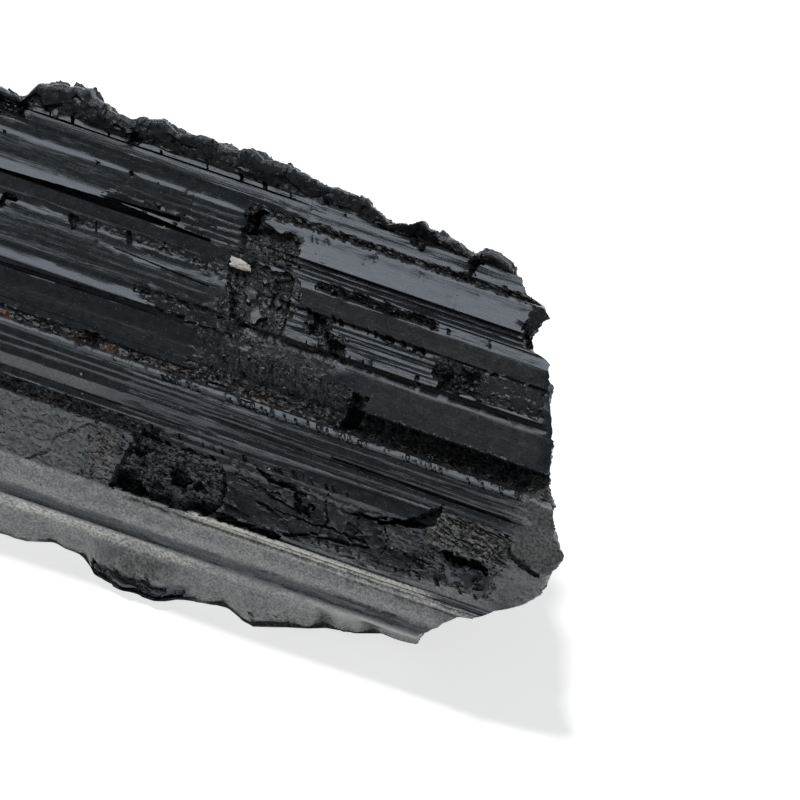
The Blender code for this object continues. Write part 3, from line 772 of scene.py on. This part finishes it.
def crack_height(x, v):
    """Cracks, as narrow valleys of uneven width along broken lines."""
    height = 0.0 * x
    moved_x, moved_v = jagged(x, v)
    moved_x, moved_v = (x + moved_x) / 2, (v + moved_v) / 2
    width = 0.45 + 0.9 * np.abs(flat_noise(x, v, 1.3, 48))
    for points, half_width, depth in CRACKS:
        near = places_near(x, v, points)
        away = np.full(near.sum(), FAR)
        for start, end in zip(points, points[1:]):
            away = np.minimum(away, line_distance(moved_x[near], moved_v[near], start, end))
        height[near] -= (1.0 - smooth_step(0.2, 1.0, away / half_width / width[near])) * depth
    return height


def broken_ground(x, v):
    """Torn ground: splinters below, slanting chips at the break, crumbs elsewhere, humps on the crest."""
    crumbs = chips(x * 0.8, v, 0.6, 50, 0.1, 0.4) + chips(x, v, 0.3, 51, 0.16, 0.75)
    humps = chips(x * 0.6, v, 1.5, 60, 0.07, 0.3) + chips(x, v, 0.5, 63, 0.1, 0.4)
    slant_along, slant_across = x * 0.4 - v * 0.92, x * 0.92 + v * 0.4
    slants = chips(slant_along * 0.4, slant_across, 0.4, 52, 0.18, 0.55)
    slants = slants + chips(slant_along * 0.7, slant_across, 0.2, 53, 0.2, 0.7)
    lean = v + x * 0.12
    splinters = chips(x * 0.35, lean, 0.42, 57, 0.16, 0.5)
    splinters = splinters + chips(x * 0.6, lean, 0.2, 58, 0.2, 0.7)
    slanting = stretch(x, 4.5, 17.0, 1.0) * stretch(v, 7.5, 20.8, 0.5)
    low, high = smooth_step(1.6, 1.0, v) * smooth_step(-4.0, -1.5, x), smooth_step(24.2, 24.8, v)
    fine = chips(x, v, 0.17, 59, 0.12, 0.5)
    crumbs = crumbs * (1.0 - slanting) * (1.0 - low) * (1.0 - high)
    return crumbs + slants * slanting + splinters * low + humps * high + fine * (1.0 - 0.6 * high)


def front_relief(x, v):
    """How far the front and the top stand out from the outline, how torn they are and how lined."""
    shapes, torn = shape_height(x, v, torn_share(x, v))
    edge = along_line(END_FACE, v) + flat_noise(x, v, 1.2, 91) * 0.5
    on_end = smooth_step(0.0, 1.4, x - edge)
    facets = wedge_height(x, v, facet_height(x, v) + strip_height(x, v))
    height = terrace_height(x, v) + facets * (1.0 - on_end) + shapes
    height, torn = plate_height(x, v, height + torn * -0.1, torn)
    lined = line_depth(x, v) * (1.0 - on_end) * (1.0 - 0.8 * torn)
    height = height + lined * line_pattern(x, v) + wavy_height(x, v) * (1.0 + 2.5 * on_end)
    height = height + (nick_height(x, v) + crack_height(x, v)) * (1.0 - on_end)
    return height + torn * broken_ground(x, v), torn, lined


def front_dust(x, v):
    """How dusty the front is at each point, from 0 to 1."""
    v = v + flat_noise(x * 0.3, v, 0.5, 61) * 0.06
    dust = 0.0 * x
    for low, high, start, end, share in DUSTY:
        dust = np.maximum(dust, stretch(v, low, high, 0.1) * stretch(x, start, end, 0.6) * share)
    return dust


def front_rust(x, v):
    """How rusty the front is at each point, from 0 to 1."""
    ragged = flat_noise(x, v, 0.3, 62) * 0.6
    rust = 0.0 * x
    for stain_x, stain_v, half_x, half_v, share in STAINS:
        away = np.hypot((x - stain_x) / half_x, (v - stain_v) / half_v) + ragged
        rust = np.maximum(rust, (1.0 - smooth_step(0.5, 1.1, away)) * share)
    return rust


def back_relief(x, place, around):
    """How far the back stands out, and how torn it is: ribs, growth steps, lines and torn patches."""
    ribs = flat_noise(x * 0.025, place * 6.0, 1.0, 50) * 0.4
    climb = flat_noise(x * 0.03, place * 1.9, 1.0, 51) * 2.2
    steps = (np.floor(climb) + smooth_step(0.35, 0.65, climb - np.floor(climb))) * 0.45
    torn = smooth_step(0.42, 0.5, flat_noise(x, place * 5.0, 12.0, 52))
    torn = np.maximum(torn, smooth_step(26.2, 26.5, place + flat_noise(x, around, 2.0, 53) * 0.3))
    crumbs = flat_noise(x, around, 2.0, 53) * 0.5 - 0.5 * smooth_step(26.3, 26.0, place)
    lines = growth_lines(x, around, 0.5, 30.0, 92) * 0.1
    lines = lines + growth_lines(x, around, 1.1, 40.0, 94) * 0.14
    broken = chips(x * 0.7, around, 1.0, 96, 0.1, 0.4)
    broken = broken + chips(x, around, 0.45, 97, 0.1, 0.4)
    return ribs + steps + lines * (1.0 - torn) + torn * (crumbs + broken), torn


def back_dust(x, place, around):
    """How dusty the back is: a haze in patches, more of it low down."""
    patches = smooth_step(-0.1, 0.7, flat_noise(x * 0.3, around, 3.0, 98))
    return (0.13 * patches + 0.1 * smooth_step(25.0, 23.0, place)) * smooth_step(26.2, 25.0, place)


def side_x(y, z, place):
    """X of the sides' points: rings of them from the left broken end to the right one."""
    left = break_surface(y, z, LEFT_BREAKS)
    right = right_rim(break_surface(y, z, RIGHT_BREAKS), chart_v(y, z), place)
    hidden = np.linspace(0.0, HIDDEN_SHARE, ROWS_HIDDEN, endpoint=False)
    rows = np.concatenate([hidden, np.linspace(HIDDEN_SHARE, 1.0, ROWS_SEEN)])[:, None]
    return left + (right - left) * rows


def moved_out(x, y, z, out_y, out_z, place, height):
    """The sides' points moved out by a height, and the crest and the foot to their edges."""
    shift_y, shift_z = edge_shift(x, y, z)
    shift_z = shift_z - CREST_BACK_DROP * smooth_step(*CREST_BACK_Y, y) * smooth_step(*CREST_BACK_Z, z)
    resting = (place >= REST_EDGE) & (place <= REST_EDGE + 1)
    inside = (place > REST_EDGE) & (place < REST_EDGE + 1)
    y = y + np.where(inside, 0.0, np.where(resting, np.sign(out_y), out_y) * height) + shift_y
    z = z + np.where(resting, 0.0, out_z * height) + shift_z
    return np.stack([x, y, np.maximum(z, 0.0)], axis=2), resting


def crystal_sides():
    """Points of the sides as rows, columns and X, Y, Z, and how torn, dusty, rusty and lined each is."""
    y, z, out_y, out_z, place, around = outline_columns()
    x = side_x(y, z, place)
    y, z, place, around = (part + 0.0 * x for part in (y, z, place, around))
    v = chart_v(y, z)
    on_top = place < 2.0
    place = np.where(on_top, place + len(OUTLINE), place)
    around = np.where(on_top, around + around.max(), around)
    top = len(OUTLINE) + 1.0
    over_top = smooth_step(top - 0.4, top + 0.1, place)
    front = (place <= REST_EDGE) + over_top
    back = smooth_step(REST_EDGE + 1.0, REST_EDGE + 2.0, place) * (1.0 - over_top)
    front_height, front_torn, front_lined = front_relief(x, v)
    back_height, back_torn = back_relief(x, place, around)
    height = front * front_height + back * back_height
    height = height + lattice_noise(x, y, z, 13.0, 80) * BROAD_WAVES
    points, resting = moved_out(x, y, z, out_y, out_z, place, height)
    shares = {
        "torn": front * front_torn + back * back_torn,
        "dust": front * front_dust(x, v) + back * back_dust(x, place, around) + resting * 0.15,
        "rust": front * front_rust(x, v),
        "lined": front * np.clip(front_lined / DEEP_LINES, 0.0, 1.0) + back * (1.0 - back_torn) * 0.5,
    }
    return points, shares


def cap_rings(ring, planes):
    """Rings of points on a broken end, from near its rim to its middle."""
    centre_y, centre_z = SECTION_CENTRE
    rim_gap = ring[:, 0] - break_surface(ring[:, 1], ring[:, 2], planes)
    broad_gap = ring_mean(rim_gap, RIM_REACH)
    right = planes is RIGHT_BREAKS
    outwards = 1.0 if right else -1.0
    fade_from = 0.3 + 0.5 * smooth_step(-0.4, 0.4, outwards * broad_gap)
    dips = along_line(END_DIPS, chart_v(ring[:, 1], ring[:, 2])) * right
    hollow = (END_HOLLOW + dips) * outwards
    rings = []
    for share in np.linspace(1.0, 0.0, CAP_RINGS + 1)[1:-1]:
        y = centre_y + (ring[:, 1] - centre_y) * share
        z = centre_z + (ring[:, 2] - centre_z) * share
        x = break_surface(y, z, planes) + broad_gap * smooth_step(fade_from, 1.0, share)
        x = x + (rim_gap - broad_gap) * smooth_step(0.93, 1.0, share)
        x = x - hollow * smooth_step(1.0, 0.85, share) * smooth_step(0.0, 0.5, share)
        furthest = RIM_OVER + RIM_SLOPE * (1.0 - share) + RIM_BULGE * (1.0 - share) ** 2
        furthest = outwards * ring[:, 0] + furthest
        x = outwards * np.minimum(outwards * x, furthest)
        rings.append(np.stack([x, y, z], axis=1))
    middle = break_surface(np.array([centre_y]), np.array([centre_z]), planes)
    return rings, np.array([[middle[0], centre_y, centre_z]])


def ring_mean(values, reach):
    """Each value of a ring replaced by the mean of its neighbours as far as reach on both sides."""
    return np.mean([np.roll(values, step) for step in range(-reach, reach + 1)], axis=0)


def ring_faces(first, second, columns):
    """Four-sided faces between two rings, given the number of the first point of each."""
    column = np.arange(columns)
    after = (column + 1) % columns
    return np.stack([first + column, first + after, second + after, second + column], axis=1)


def end_faces(side):
    """Points, four-sided faces and middle triangles of both broken ends, numbered on from the sides."""
    rows, columns = side.shape[:2]
    points, quads, closing = [], [], []
    count = rows * columns
    for planes, row in ((RIGHT_BREAKS, rows - 1), (LEFT_BREAKS, 0)):
        rings, middle = cap_rings(side[row], planes)
        points += [*rings, middle]
        outer = row * columns
        for _ in rings:
            pair = (outer, count) if row else (count, outer)
            quads.append(ring_faces(*pair, columns))
            outer = count
            count += columns
        column = np.arange(columns)
        pair = (outer + column, outer + (column + 1) % columns)
        pair = pair if row else pair[::-1]
        closing.append(np.stack([*pair, np.full(columns, count)], axis=1))
        count += 1
    return np.concatenate(points), quads, np.concatenate(closing)


def crystal_mesh():
    """The dense crystal as one closed mesh, with the shares that its materials read."""
    side, shares = crystal_sides()
    rows, columns = side.shape[:2]
    quads = [ring_faces(row * columns, (row + 1) * columns, columns) for row in range(rows - 1)]
    on_ends, end_quads, closing = end_faces(side)
    points = np.concatenate([side.reshape(-1, 3), on_ends])
    faces = np.concatenate(quads + end_quads).tolist() + closing.tolist()
    mesh = new_mesh(NODE, points, faces)
    none = 0.0 * on_ends[:, 0]
    end_shares = {"torn": none + 0.25, "dust": end_dust(on_ends), "rust": none, "lined": none}
    for name, values in shares.items():
        keep_share(mesh, name, np.append(values, end_shares[name]))
    material = np.ones(len(mesh.polygons), dtype=np.int32)
    material[: (rows - 1) * columns] = 0
    mesh.polygons.foreach_set("material_index", material)
    return mesh


def end_dust(points):
    """How dusty the broken ends are: a soft mottled haze."""
    patches = flat_noise(points[:, 1], points[:, 2], 1.6, 99)
    return 0.17 + 0.09 * patches


def keep_share(mesh, name, values):
    """Stores one number for each point of a mesh, for a material to read."""
    attribute = mesh.attributes.new(name, "FLOAT", "POINT")
    attribute.data.foreach_set("value", np.asarray(values, dtype=np.float32))


def new_mesh(name, points, faces):
    """A mesh from points in millimetres and lists of their numbers."""
    mesh = bpy.data.meshes.new(name)
    mesh.from_pydata((points * MM).tolist(), [], faces)
    return mesh


def thinned(mesh, faces_kept):
    """A copy of a mesh with about that many triangles, kept dense where the surface turns."""
    dense = bpy.data.objects.new("dense", mesh)
    bpy.context.collection.objects.link(dense)
    modifier = dense.modifiers.new("thin", "DECIMATE")
    triangles = sum(len(polygon.vertices) - 2 for polygon in mesh.polygons)
    modifier.ratio = min(1.0, faces_kept / triangles)
    ready = dense.evaluated_get(bpy.context.evaluated_depsgraph_get())
    light = bpy.data.meshes.new_from_object(ready)
    bpy.data.objects.remove(dense, do_unlink=True)
    return light


def add_piece(name, mesh, *materials):
    """Links a mesh as a shown piece of the crystal."""
    piece = bpy.data.objects.new(name, mesh)
    bpy.context.collection.objects.link(piece)
    mesh.materials.clear()
    for material in materials:
        mesh.materials.append(material)
    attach(piece, "root")
    return piece


def mesh_points(mesh, shares):
    """The points of a mesh in millimetres, which way each faces, and its stored shares."""
    count = len(mesh.vertices)
    points, normals = np.zeros(count * 3), np.zeros(count * 3)
    mesh.vertices.foreach_get("co", points)
    mesh.vertex_normals.foreach_get("vector", normals)
    found = []
    for share in shares:
        values = np.zeros(count, dtype=np.float32)
        mesh.attributes[share].data.foreach_get("value", values)
        found.append(values)
    return points.reshape(-1, 3) / MM, normals.reshape(-1, 3), found


def nearest_point(points, normals, x, v):
    """Number of the point of the front nearest to a place on the chart."""
    front = normals @ OUT_OF_FRONT > 0.2
    height_v = chart_v(points[:, 1], points[:, 2])
    away = np.hypot(points[:, 0] - x, height_v - v) + np.where(front, 0.0, FAR)
    return int(np.argmin(away))


def small_stones(name, centres, normals, sizes, seed, flatness):
    """One mesh of small angular stones: each is an eight-sided body of its own shape, partly sunk in."""
    chance = random_numbers(seed)
    corners = np.array([(1, 0, 0), (0, 1, 0), (-1, 0, 0), (0, -1, 0), (0, 0, 1), (0, 0, -1)], dtype=float)
    upper = [(0, 1, 4), (1, 2, 4), (2, 3, 4), (3, 0, 4)]
    faces = np.array(upper + [(after, before, 5) for before, after, _ in upper])
    count = len(centres)
    turns, _ = np.linalg.qr(chance.normal(size=(count, 3, 3)))
    turns = turns * np.linalg.det(turns)[:, None, None]
    lengths = chance.uniform(0.55, 1.3, (count, 6, 1))
    shape = corners * lengths * np.array([1.0, 0.75, flatness])
    shape = shape + chance.uniform(-0.2, 0.2, (count, 6, 3))
    shape = np.einsum("nij,nkj->nki", turns, shape) * sizes[:, None, None]
    points = shape + (centres + normals * sizes[:, None] * 0.15)[:, None, :]
    numbered = faces[None, :, :] + 6 * np.arange(count)[:, None, None]
    return new_mesh(name, points.reshape(-1, 3), numbered.reshape(-1, 3).tolist())


def chosen(weights, count, seed):
    """Numbers of that many points, picked by chance according to their weights."""
    chance = random_numbers(seed)
    return chance.choice(len(weights), size=count, replace=False, p=weights / weights.sum())


def stone_sizes(limits, count, seed):
    """Many small sizes and a few large ones."""
    small, large = limits
    return small + (large - small) * random_numbers(seed).uniform(0.0, 1.0, count) ** 2.5


def new_material(name):
    """An empty material with its node tree and its main shader."""
    material = bpy.data.materials.new(name)
    material.use_nodes = True
    return material, material.node_tree, material.node_tree.nodes["Principled BSDF"]


def set_inputs(node, **inputs):
    """Sets inputs to values or to the sockets of other nodes, by input name with _ for a space."""
    for name, value in inputs.items():
        place = int(name[1:]) if name[1:].isdigit() else name.replace("_", " ")
        if isinstance(value, bpy.types.NodeSocket):
            node.id_data.links.new(value, node.inputs[place])
        else:
            node.inputs[place].default_value = value
    return node


def add_node(tree, kind, settings=(), **inputs):
    """A new node with these settings and inputs."""
    node = tree.nodes.new(kind)
    for name, value in dict(settings).items():
        setattr(node, name, value)
    return set_inputs(node, **inputs)


def mixed_colour(tree, share, first, second):
    """The socket of a colour between two others."""
    first, second = ((*c, 1.0) if isinstance(c, tuple) else c for c in (first, second))
    kind = {"data_type": "RGBA"}
    return add_node(tree, "ShaderNodeMix", kind, _0=share, _6=first, _7=second).outputs[2]


def mixed_value(tree, share, first, second):
    """The socket of a value between two others."""
    kind = {"data_type": "FLOAT"}
    return add_node(tree, "ShaderNodeMix", kind, _0=share, _2=first, _3=second).outputs[0]


def calculated(tree, operation, first, second):
    """The socket of a sum, a product or the like."""
    return add_node(tree, "ShaderNodeMath", {"operation": operation}, _0=first, _1=second).outputs[0]


def stored_share(tree, name):
    """The socket of a number stored on the mesh's points."""
    return add_node(tree, "ShaderNodeAttribute", {"attribute_name": name}).outputs["Fac"]


def noise(tree, place, scale, detail):
    """The socket of a noise; scale is in waves to the metre."""
    return add_node(tree, "ShaderNodeTexNoise", Vector=place, Scale=scale, Detail=detail).outputs["Fac"]


def ramped(tree, value, low, high, to_low, to_high):
    """The socket of a value moved from one range into another."""
    ends = {"From_Min": low, "From_Max": high, "To_Min": to_low, "To_Max": to_high}
    return add_node(tree, "ShaderNodeMapRange", Value=value, **ends).outputs[0]


def black_mineral(name):
    """Near-black glossy mineral: rough and brownish where torn, pale where dusty, ochre where rusty."""
    material, tree, shader = new_material(name)
    place = add_node(tree, "ShaderNodeTexCoord").outputs["Object"]
    along = add_node(tree, "ShaderNodeMapping", Vector=place, Scale=(0.09, 1.0, 1.0)).outputs[0]
    torn, dust, rust, lined = (stored_share(tree, share) for share in ("torn", "dust", "rust", "lined"))
    mottle = ramped(tree, noise(tree, place, 1400.0, 6.0), 0.35, 0.65, 0.0, 1.0)
    specks = ramped(tree, noise(tree, place, 5200.0, 2.0), 0.64, 0.75, 0.0, 1.0)
    streaks = noise(tree, along, 5200.0, 4.0)
    whole = mixed_colour(tree, mottle, *WHOLE_BLACK)
    broken = mixed_colour(tree, mottle, *BROKEN_BLACK)
    colour = mixed_colour(tree, torn, whole, broken)
    colour = mixed_colour(tree, calculated(tree, "MULTIPLY", specks, 0.3), colour, SPECK_GREY)
    colour = mixed_colour(tree, rust, colour, RUST_BROWN)
    patchy = ramped(tree, noise(tree, place, 4200.0, 5.0), 0.37, 0.63, 0.28, 1.3)
    blotchy = ramped(tree, noise(tree, place, 900.0, 2.0), 0.35, 0.65, 0.8, 1.2)
    dusted = calculated(tree, "MULTIPLY", calculated(tree, "MULTIPLY", dust, patchy), blotchy)
    colour = mixed_colour(tree, dusted, colour, DUST_GREY)
    rough = ramped(tree, streaks, 0.3, 0.7, 0.2, 0.3)
    glints = ramped(tree, noise(tree, place, 3600.0, 3.0), 0.35, 0.65, 0.2, 0.5)
    rough = mixed_value(tree, torn, rough, glints)
    rough = mixed_value(tree, dusted, rough, 0.8)
    grit = noise(tree, place, 6500.0, 3.0)
    lines = calculated(tree, "MULTIPLY", streaks, ramped(tree, lined, 0.0, 1.0, 0.3, 1.6))
    even = calculated(tree, "ADD", lines, calculated(tree, "MULTIPLY", grit, 0.12))
    relief = mixed_value(tree, torn, even, calculated(tree, "MULTIPLY", grit, 1.6))
    bump = add_node(tree, "ShaderNodeBump", Height=relief, Strength=0.5, Distance=0.00009)
    set_inputs(shader, Base_Color=colour, Roughness=rough, Normal=bump.outputs["Normal"])
    set_inputs(shader, IOR=TOURMALINE_IOR, Specular_Tint=GLOSS_TINT)
    return material


def stone_material(name, colours, roughness):
    """Two mottled colours and a plain roughness, for loose matter."""
    material, tree, shader = new_material(name)
    place = add_node(tree, "ShaderNodeTexCoord").outputs["Object"]
    mottle = ramped(tree, noise(tree, place, 3000.0, 4.0), 0.35, 0.65, 0.0, 1.0)
    colour = mixed_colour(tree, mottle, *colours)
    bump = add_node(tree, "ShaderNodeBump", Height=mottle, Strength=0.4, Distance=0.00004)
    set_inputs(shader, Base_Color=colour, Roughness=roughness, Normal=bump.outputs["Normal"])
    return material


def floor_material():
    """Plain pale floor, lit a little from within so that shadows stay light."""
    material, _, shader = new_material("pale_floor")
    set_inputs(shader, Base_Color=FLOOR_GREY, Roughness=0.9, Specular_IOR_Level=0.0)
    set_inputs(shader, Emission_Color=(1.0, 1.0, 1.0, 1.0), Emission_Strength=FLOOR_GLOW)
    return material


def add_floor():
    """A plain floor under the crystal."""
    half = FLOOR_WIDTH / 2
    mesh = bpy.data.meshes.new("floor")
    corners = [(-half, -half, 0.0), (half, -half, 0.0), (half, half, 0.0), (-half, half, 0.0)]
    mesh.from_pydata(corners, [], [(0, 1, 2, 3)])
    mesh.materials.append(floor_material())
    floor = bpy.data.objects.new("floor", mesh)
    floor.location.z = -FLOOR_GAP
    bpy.context.collection.objects.link(floor)


def add_light(name, kind, towards, away, energy, **settings):
    """A light that shines at the crystal from a direction."""
    data = bpy.data.lights.new(name, kind)
    data.energy = energy
    for setting, value in settings.items():
        setattr(data, setting, value)
    light = bpy.data.objects.new(name, data)
    direction = Vector(towards).normalized()
    light.location = direction * away
    light.rotation_euler = direction.to_track_quat("Z", "Y").to_euler()
    light.visible_camera = False
    bpy.context.collection.objects.link(light)
    return light


def add_lights():
    """A broad soft box that shows in the glossy faces, and a small soft sun for the rest."""
    box = add_light("key", "AREA", KEY_FROM, KEY_AWAY, KEY_POWER, shape="RECTANGLE", size=0.5, size_y=0.4)
    box.visible_diffuse = False
    sun = add_light("sun", "SUN", SUN_FROM, 1.0, SUN_POWER, angle=np.radians(SUN_WIDTH))
    sun.visible_glossy = False


def add_world():
    """Dim even light from all round."""
    world = bpy.data.worlds.new("studio")
    world.use_nodes = True
    set_inputs(world.node_tree.nodes["Background"], Color=WORLD_TINT, Strength=WORLD_POWER)
    bpy.context.scene.world = world


def add_camera():
    """The camera at the photograph's viewing angle, with a long lens."""
    azimuth, elevation = np.radians(VIEW_AZIMUTH), np.radians(VIEW_ELEVATION)
    back = Vector((
        np.sin(azimuth) * np.cos(elevation),
        -np.cos(azimuth) * np.cos(elevation),
        np.sin(elevation),
    ))
    data = bpy.data.cameras.new("camera")
    data.lens = LENS
    data.sensor_width = SENSOR
    data.clip_start, data.clip_end = 0.1, 10.0
    camera = bpy.data.objects.new("camera", data)
    distance = VIEW_WIDTH * LENS / SENSOR * MM
    camera.location = Vector(VIEW_CENTRE) * MM + back * distance
    camera.rotation_euler = back.to_track_quat("Z", "Y").to_euler()
    bpy.context.collection.objects.link(camera)
    bpy.context.scene.camera = camera


def build_crystal():
    """The crystal itself, as a mesh that the loose matter is then laid on."""
    mesh = thinned(crystal_mesh(), FACES_KEPT)
    mesh.shade_smooth()
    mesh.set_sharp_from_angle(angle=np.radians(SHARP_ANGLE))
    materials = [black_mineral("tourmaline_faces"), black_mineral("tourmaline_breaks")]
    piece = add_piece("crystal", mesh, *materials)
    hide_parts(NODE)
    return mesh


def build_shards(crystal):
    """Glossy splinters in the torn ground."""
    points, normals, (torn,) = mesh_points(crystal, ["torn"])
    height_v = chart_v(points[:, 1], points[:, 2])
    weights = np.where((torn > 0.5) & (points[:, 2] > 1.0) & (height_v < CREST_ROOT_V), torn, 0.0)
    picked = chosen(weights, SHARDS, 300)
    sizes = stone_sizes(SHARD_SIZES, SHARDS, 301)
    mesh = small_stones("shards", points[picked], normals[picked], sizes, 302, 0.4)
    add_piece("shards", mesh, stone_material("tourmaline_shards", SHARD_BLACK, 0.22))


def build_dust(crystal):
    """Pale grains of dust: those that show one by one, and many finer ones."""
    points, normals, (dust,) = mesh_points(crystal, ["dust"])
    weights = np.where(points[:, 2] > 1.0, 0.25 + dust, 0.0)
    picked = chosen(weights, DUST_GRAINS, 310)
    sizes = stone_sizes(DUST_SIZES, DUST_GRAINS, 311)
    named = [nearest_point(points, normals, x, v) for x, v in GRAINS]
    picked = np.append(picked, named)
    sizes = np.append(sizes, np.full(len(named), GRAIN_SIZE))
    mesh = small_stones("dust_grains", points[picked], normals[picked], sizes, 312, 0.8)
    add_piece("dust_grains", mesh, stone_material("pale_dust", GRAIN_COLOURS, 0.8))


def two_sided_mesh(name, upper, lower, rows, columns):
    """A closed mesh from two grids of points, one over the other."""
    number = np.arange(rows * columns).reshape(rows, columns)
    corners = (number[:-1, :-1], number[1:, :-1], number[1:, 1:], number[:-1, 1:])
    quads = np.stack(corners, axis=2).reshape(-1, 4)
    rim = np.array([*number[:, 0], *number[-1, 1:], *number[-2::-1, -1], *number[0, -2:0:-1]])
    after = np.roll(rim, -1)
    sides = np.stack([after, rim, rim + number.size, after + number.size], axis=1)
    faces = np.concatenate([quads, quads[:, ::-1] + number.size, sides])
    return new_mesh(name, np.concatenate([upper, lower]), faces.tolist())


def build_fleck(crystal):
    """The pale flat fleck of another mineral that sticks in the break."""
    x, v, length, width, thickness = FLECK
    points, _, _ = mesh_points(crystal, [])
    near = (np.abs(points[:, 0] - x) < length / 2) & (np.abs(points @ UP_FRONT - v) < width / 2)
    level = (points[near] @ OUT_OF_FRONT).max()
    rows, columns = FLECK_GRID
    s, t = np.meshgrid(np.linspace(-1.0, 1.0, rows), np.linspace(-1.0, 1.0, columns), indexing="ij")
    s, t = s.ravel(), t.ravel()
    ragged = 1.0 + 0.14 * flat_noise(s * 2.0 + 9.0, t * 2.0, 0.6, 320)
    top = thickness * (0.55 - 0.35 * (s**4 + t**4) + 0.25 * t)
    top = top + chips(s * 1.4, t * 0.7, 0.5, 321, 0.1, 0.25)
    taper = 1.0 - 0.35 * smooth_step(0.0, 1.0, s)
    away_x = s * ragged * length / 2 - t * 0.12
    away_v = t * taper * ragged * width / 2 - s * 0.06
    spread = ALONG * away_x[:, None] + UP_FRONT * away_v[:, None]
    middle = ALONG * x + UP_FRONT * v + OUT_OF_FRONT * level
    upper = middle + spread + OUT_OF_FRONT * (top - 0.1)[:, None]
    lower = middle + spread * 0.9 - OUT_OF_FRONT * thickness
    mesh = two_sided_mesh("pale_fleck", upper, lower, rows, columns)
    add_piece("pale_fleck", mesh, stone_material("pale_mineral", FLECK_COLOURS, 0.5))


crystal = build_crystal()
build_shards(crystal)
build_dust(crystal)
build_fleck(crystal)
add_floor()
add_lights()
add_world()
add_camera()
bpy.context.scene.view_settings.view_transform = "Standard"
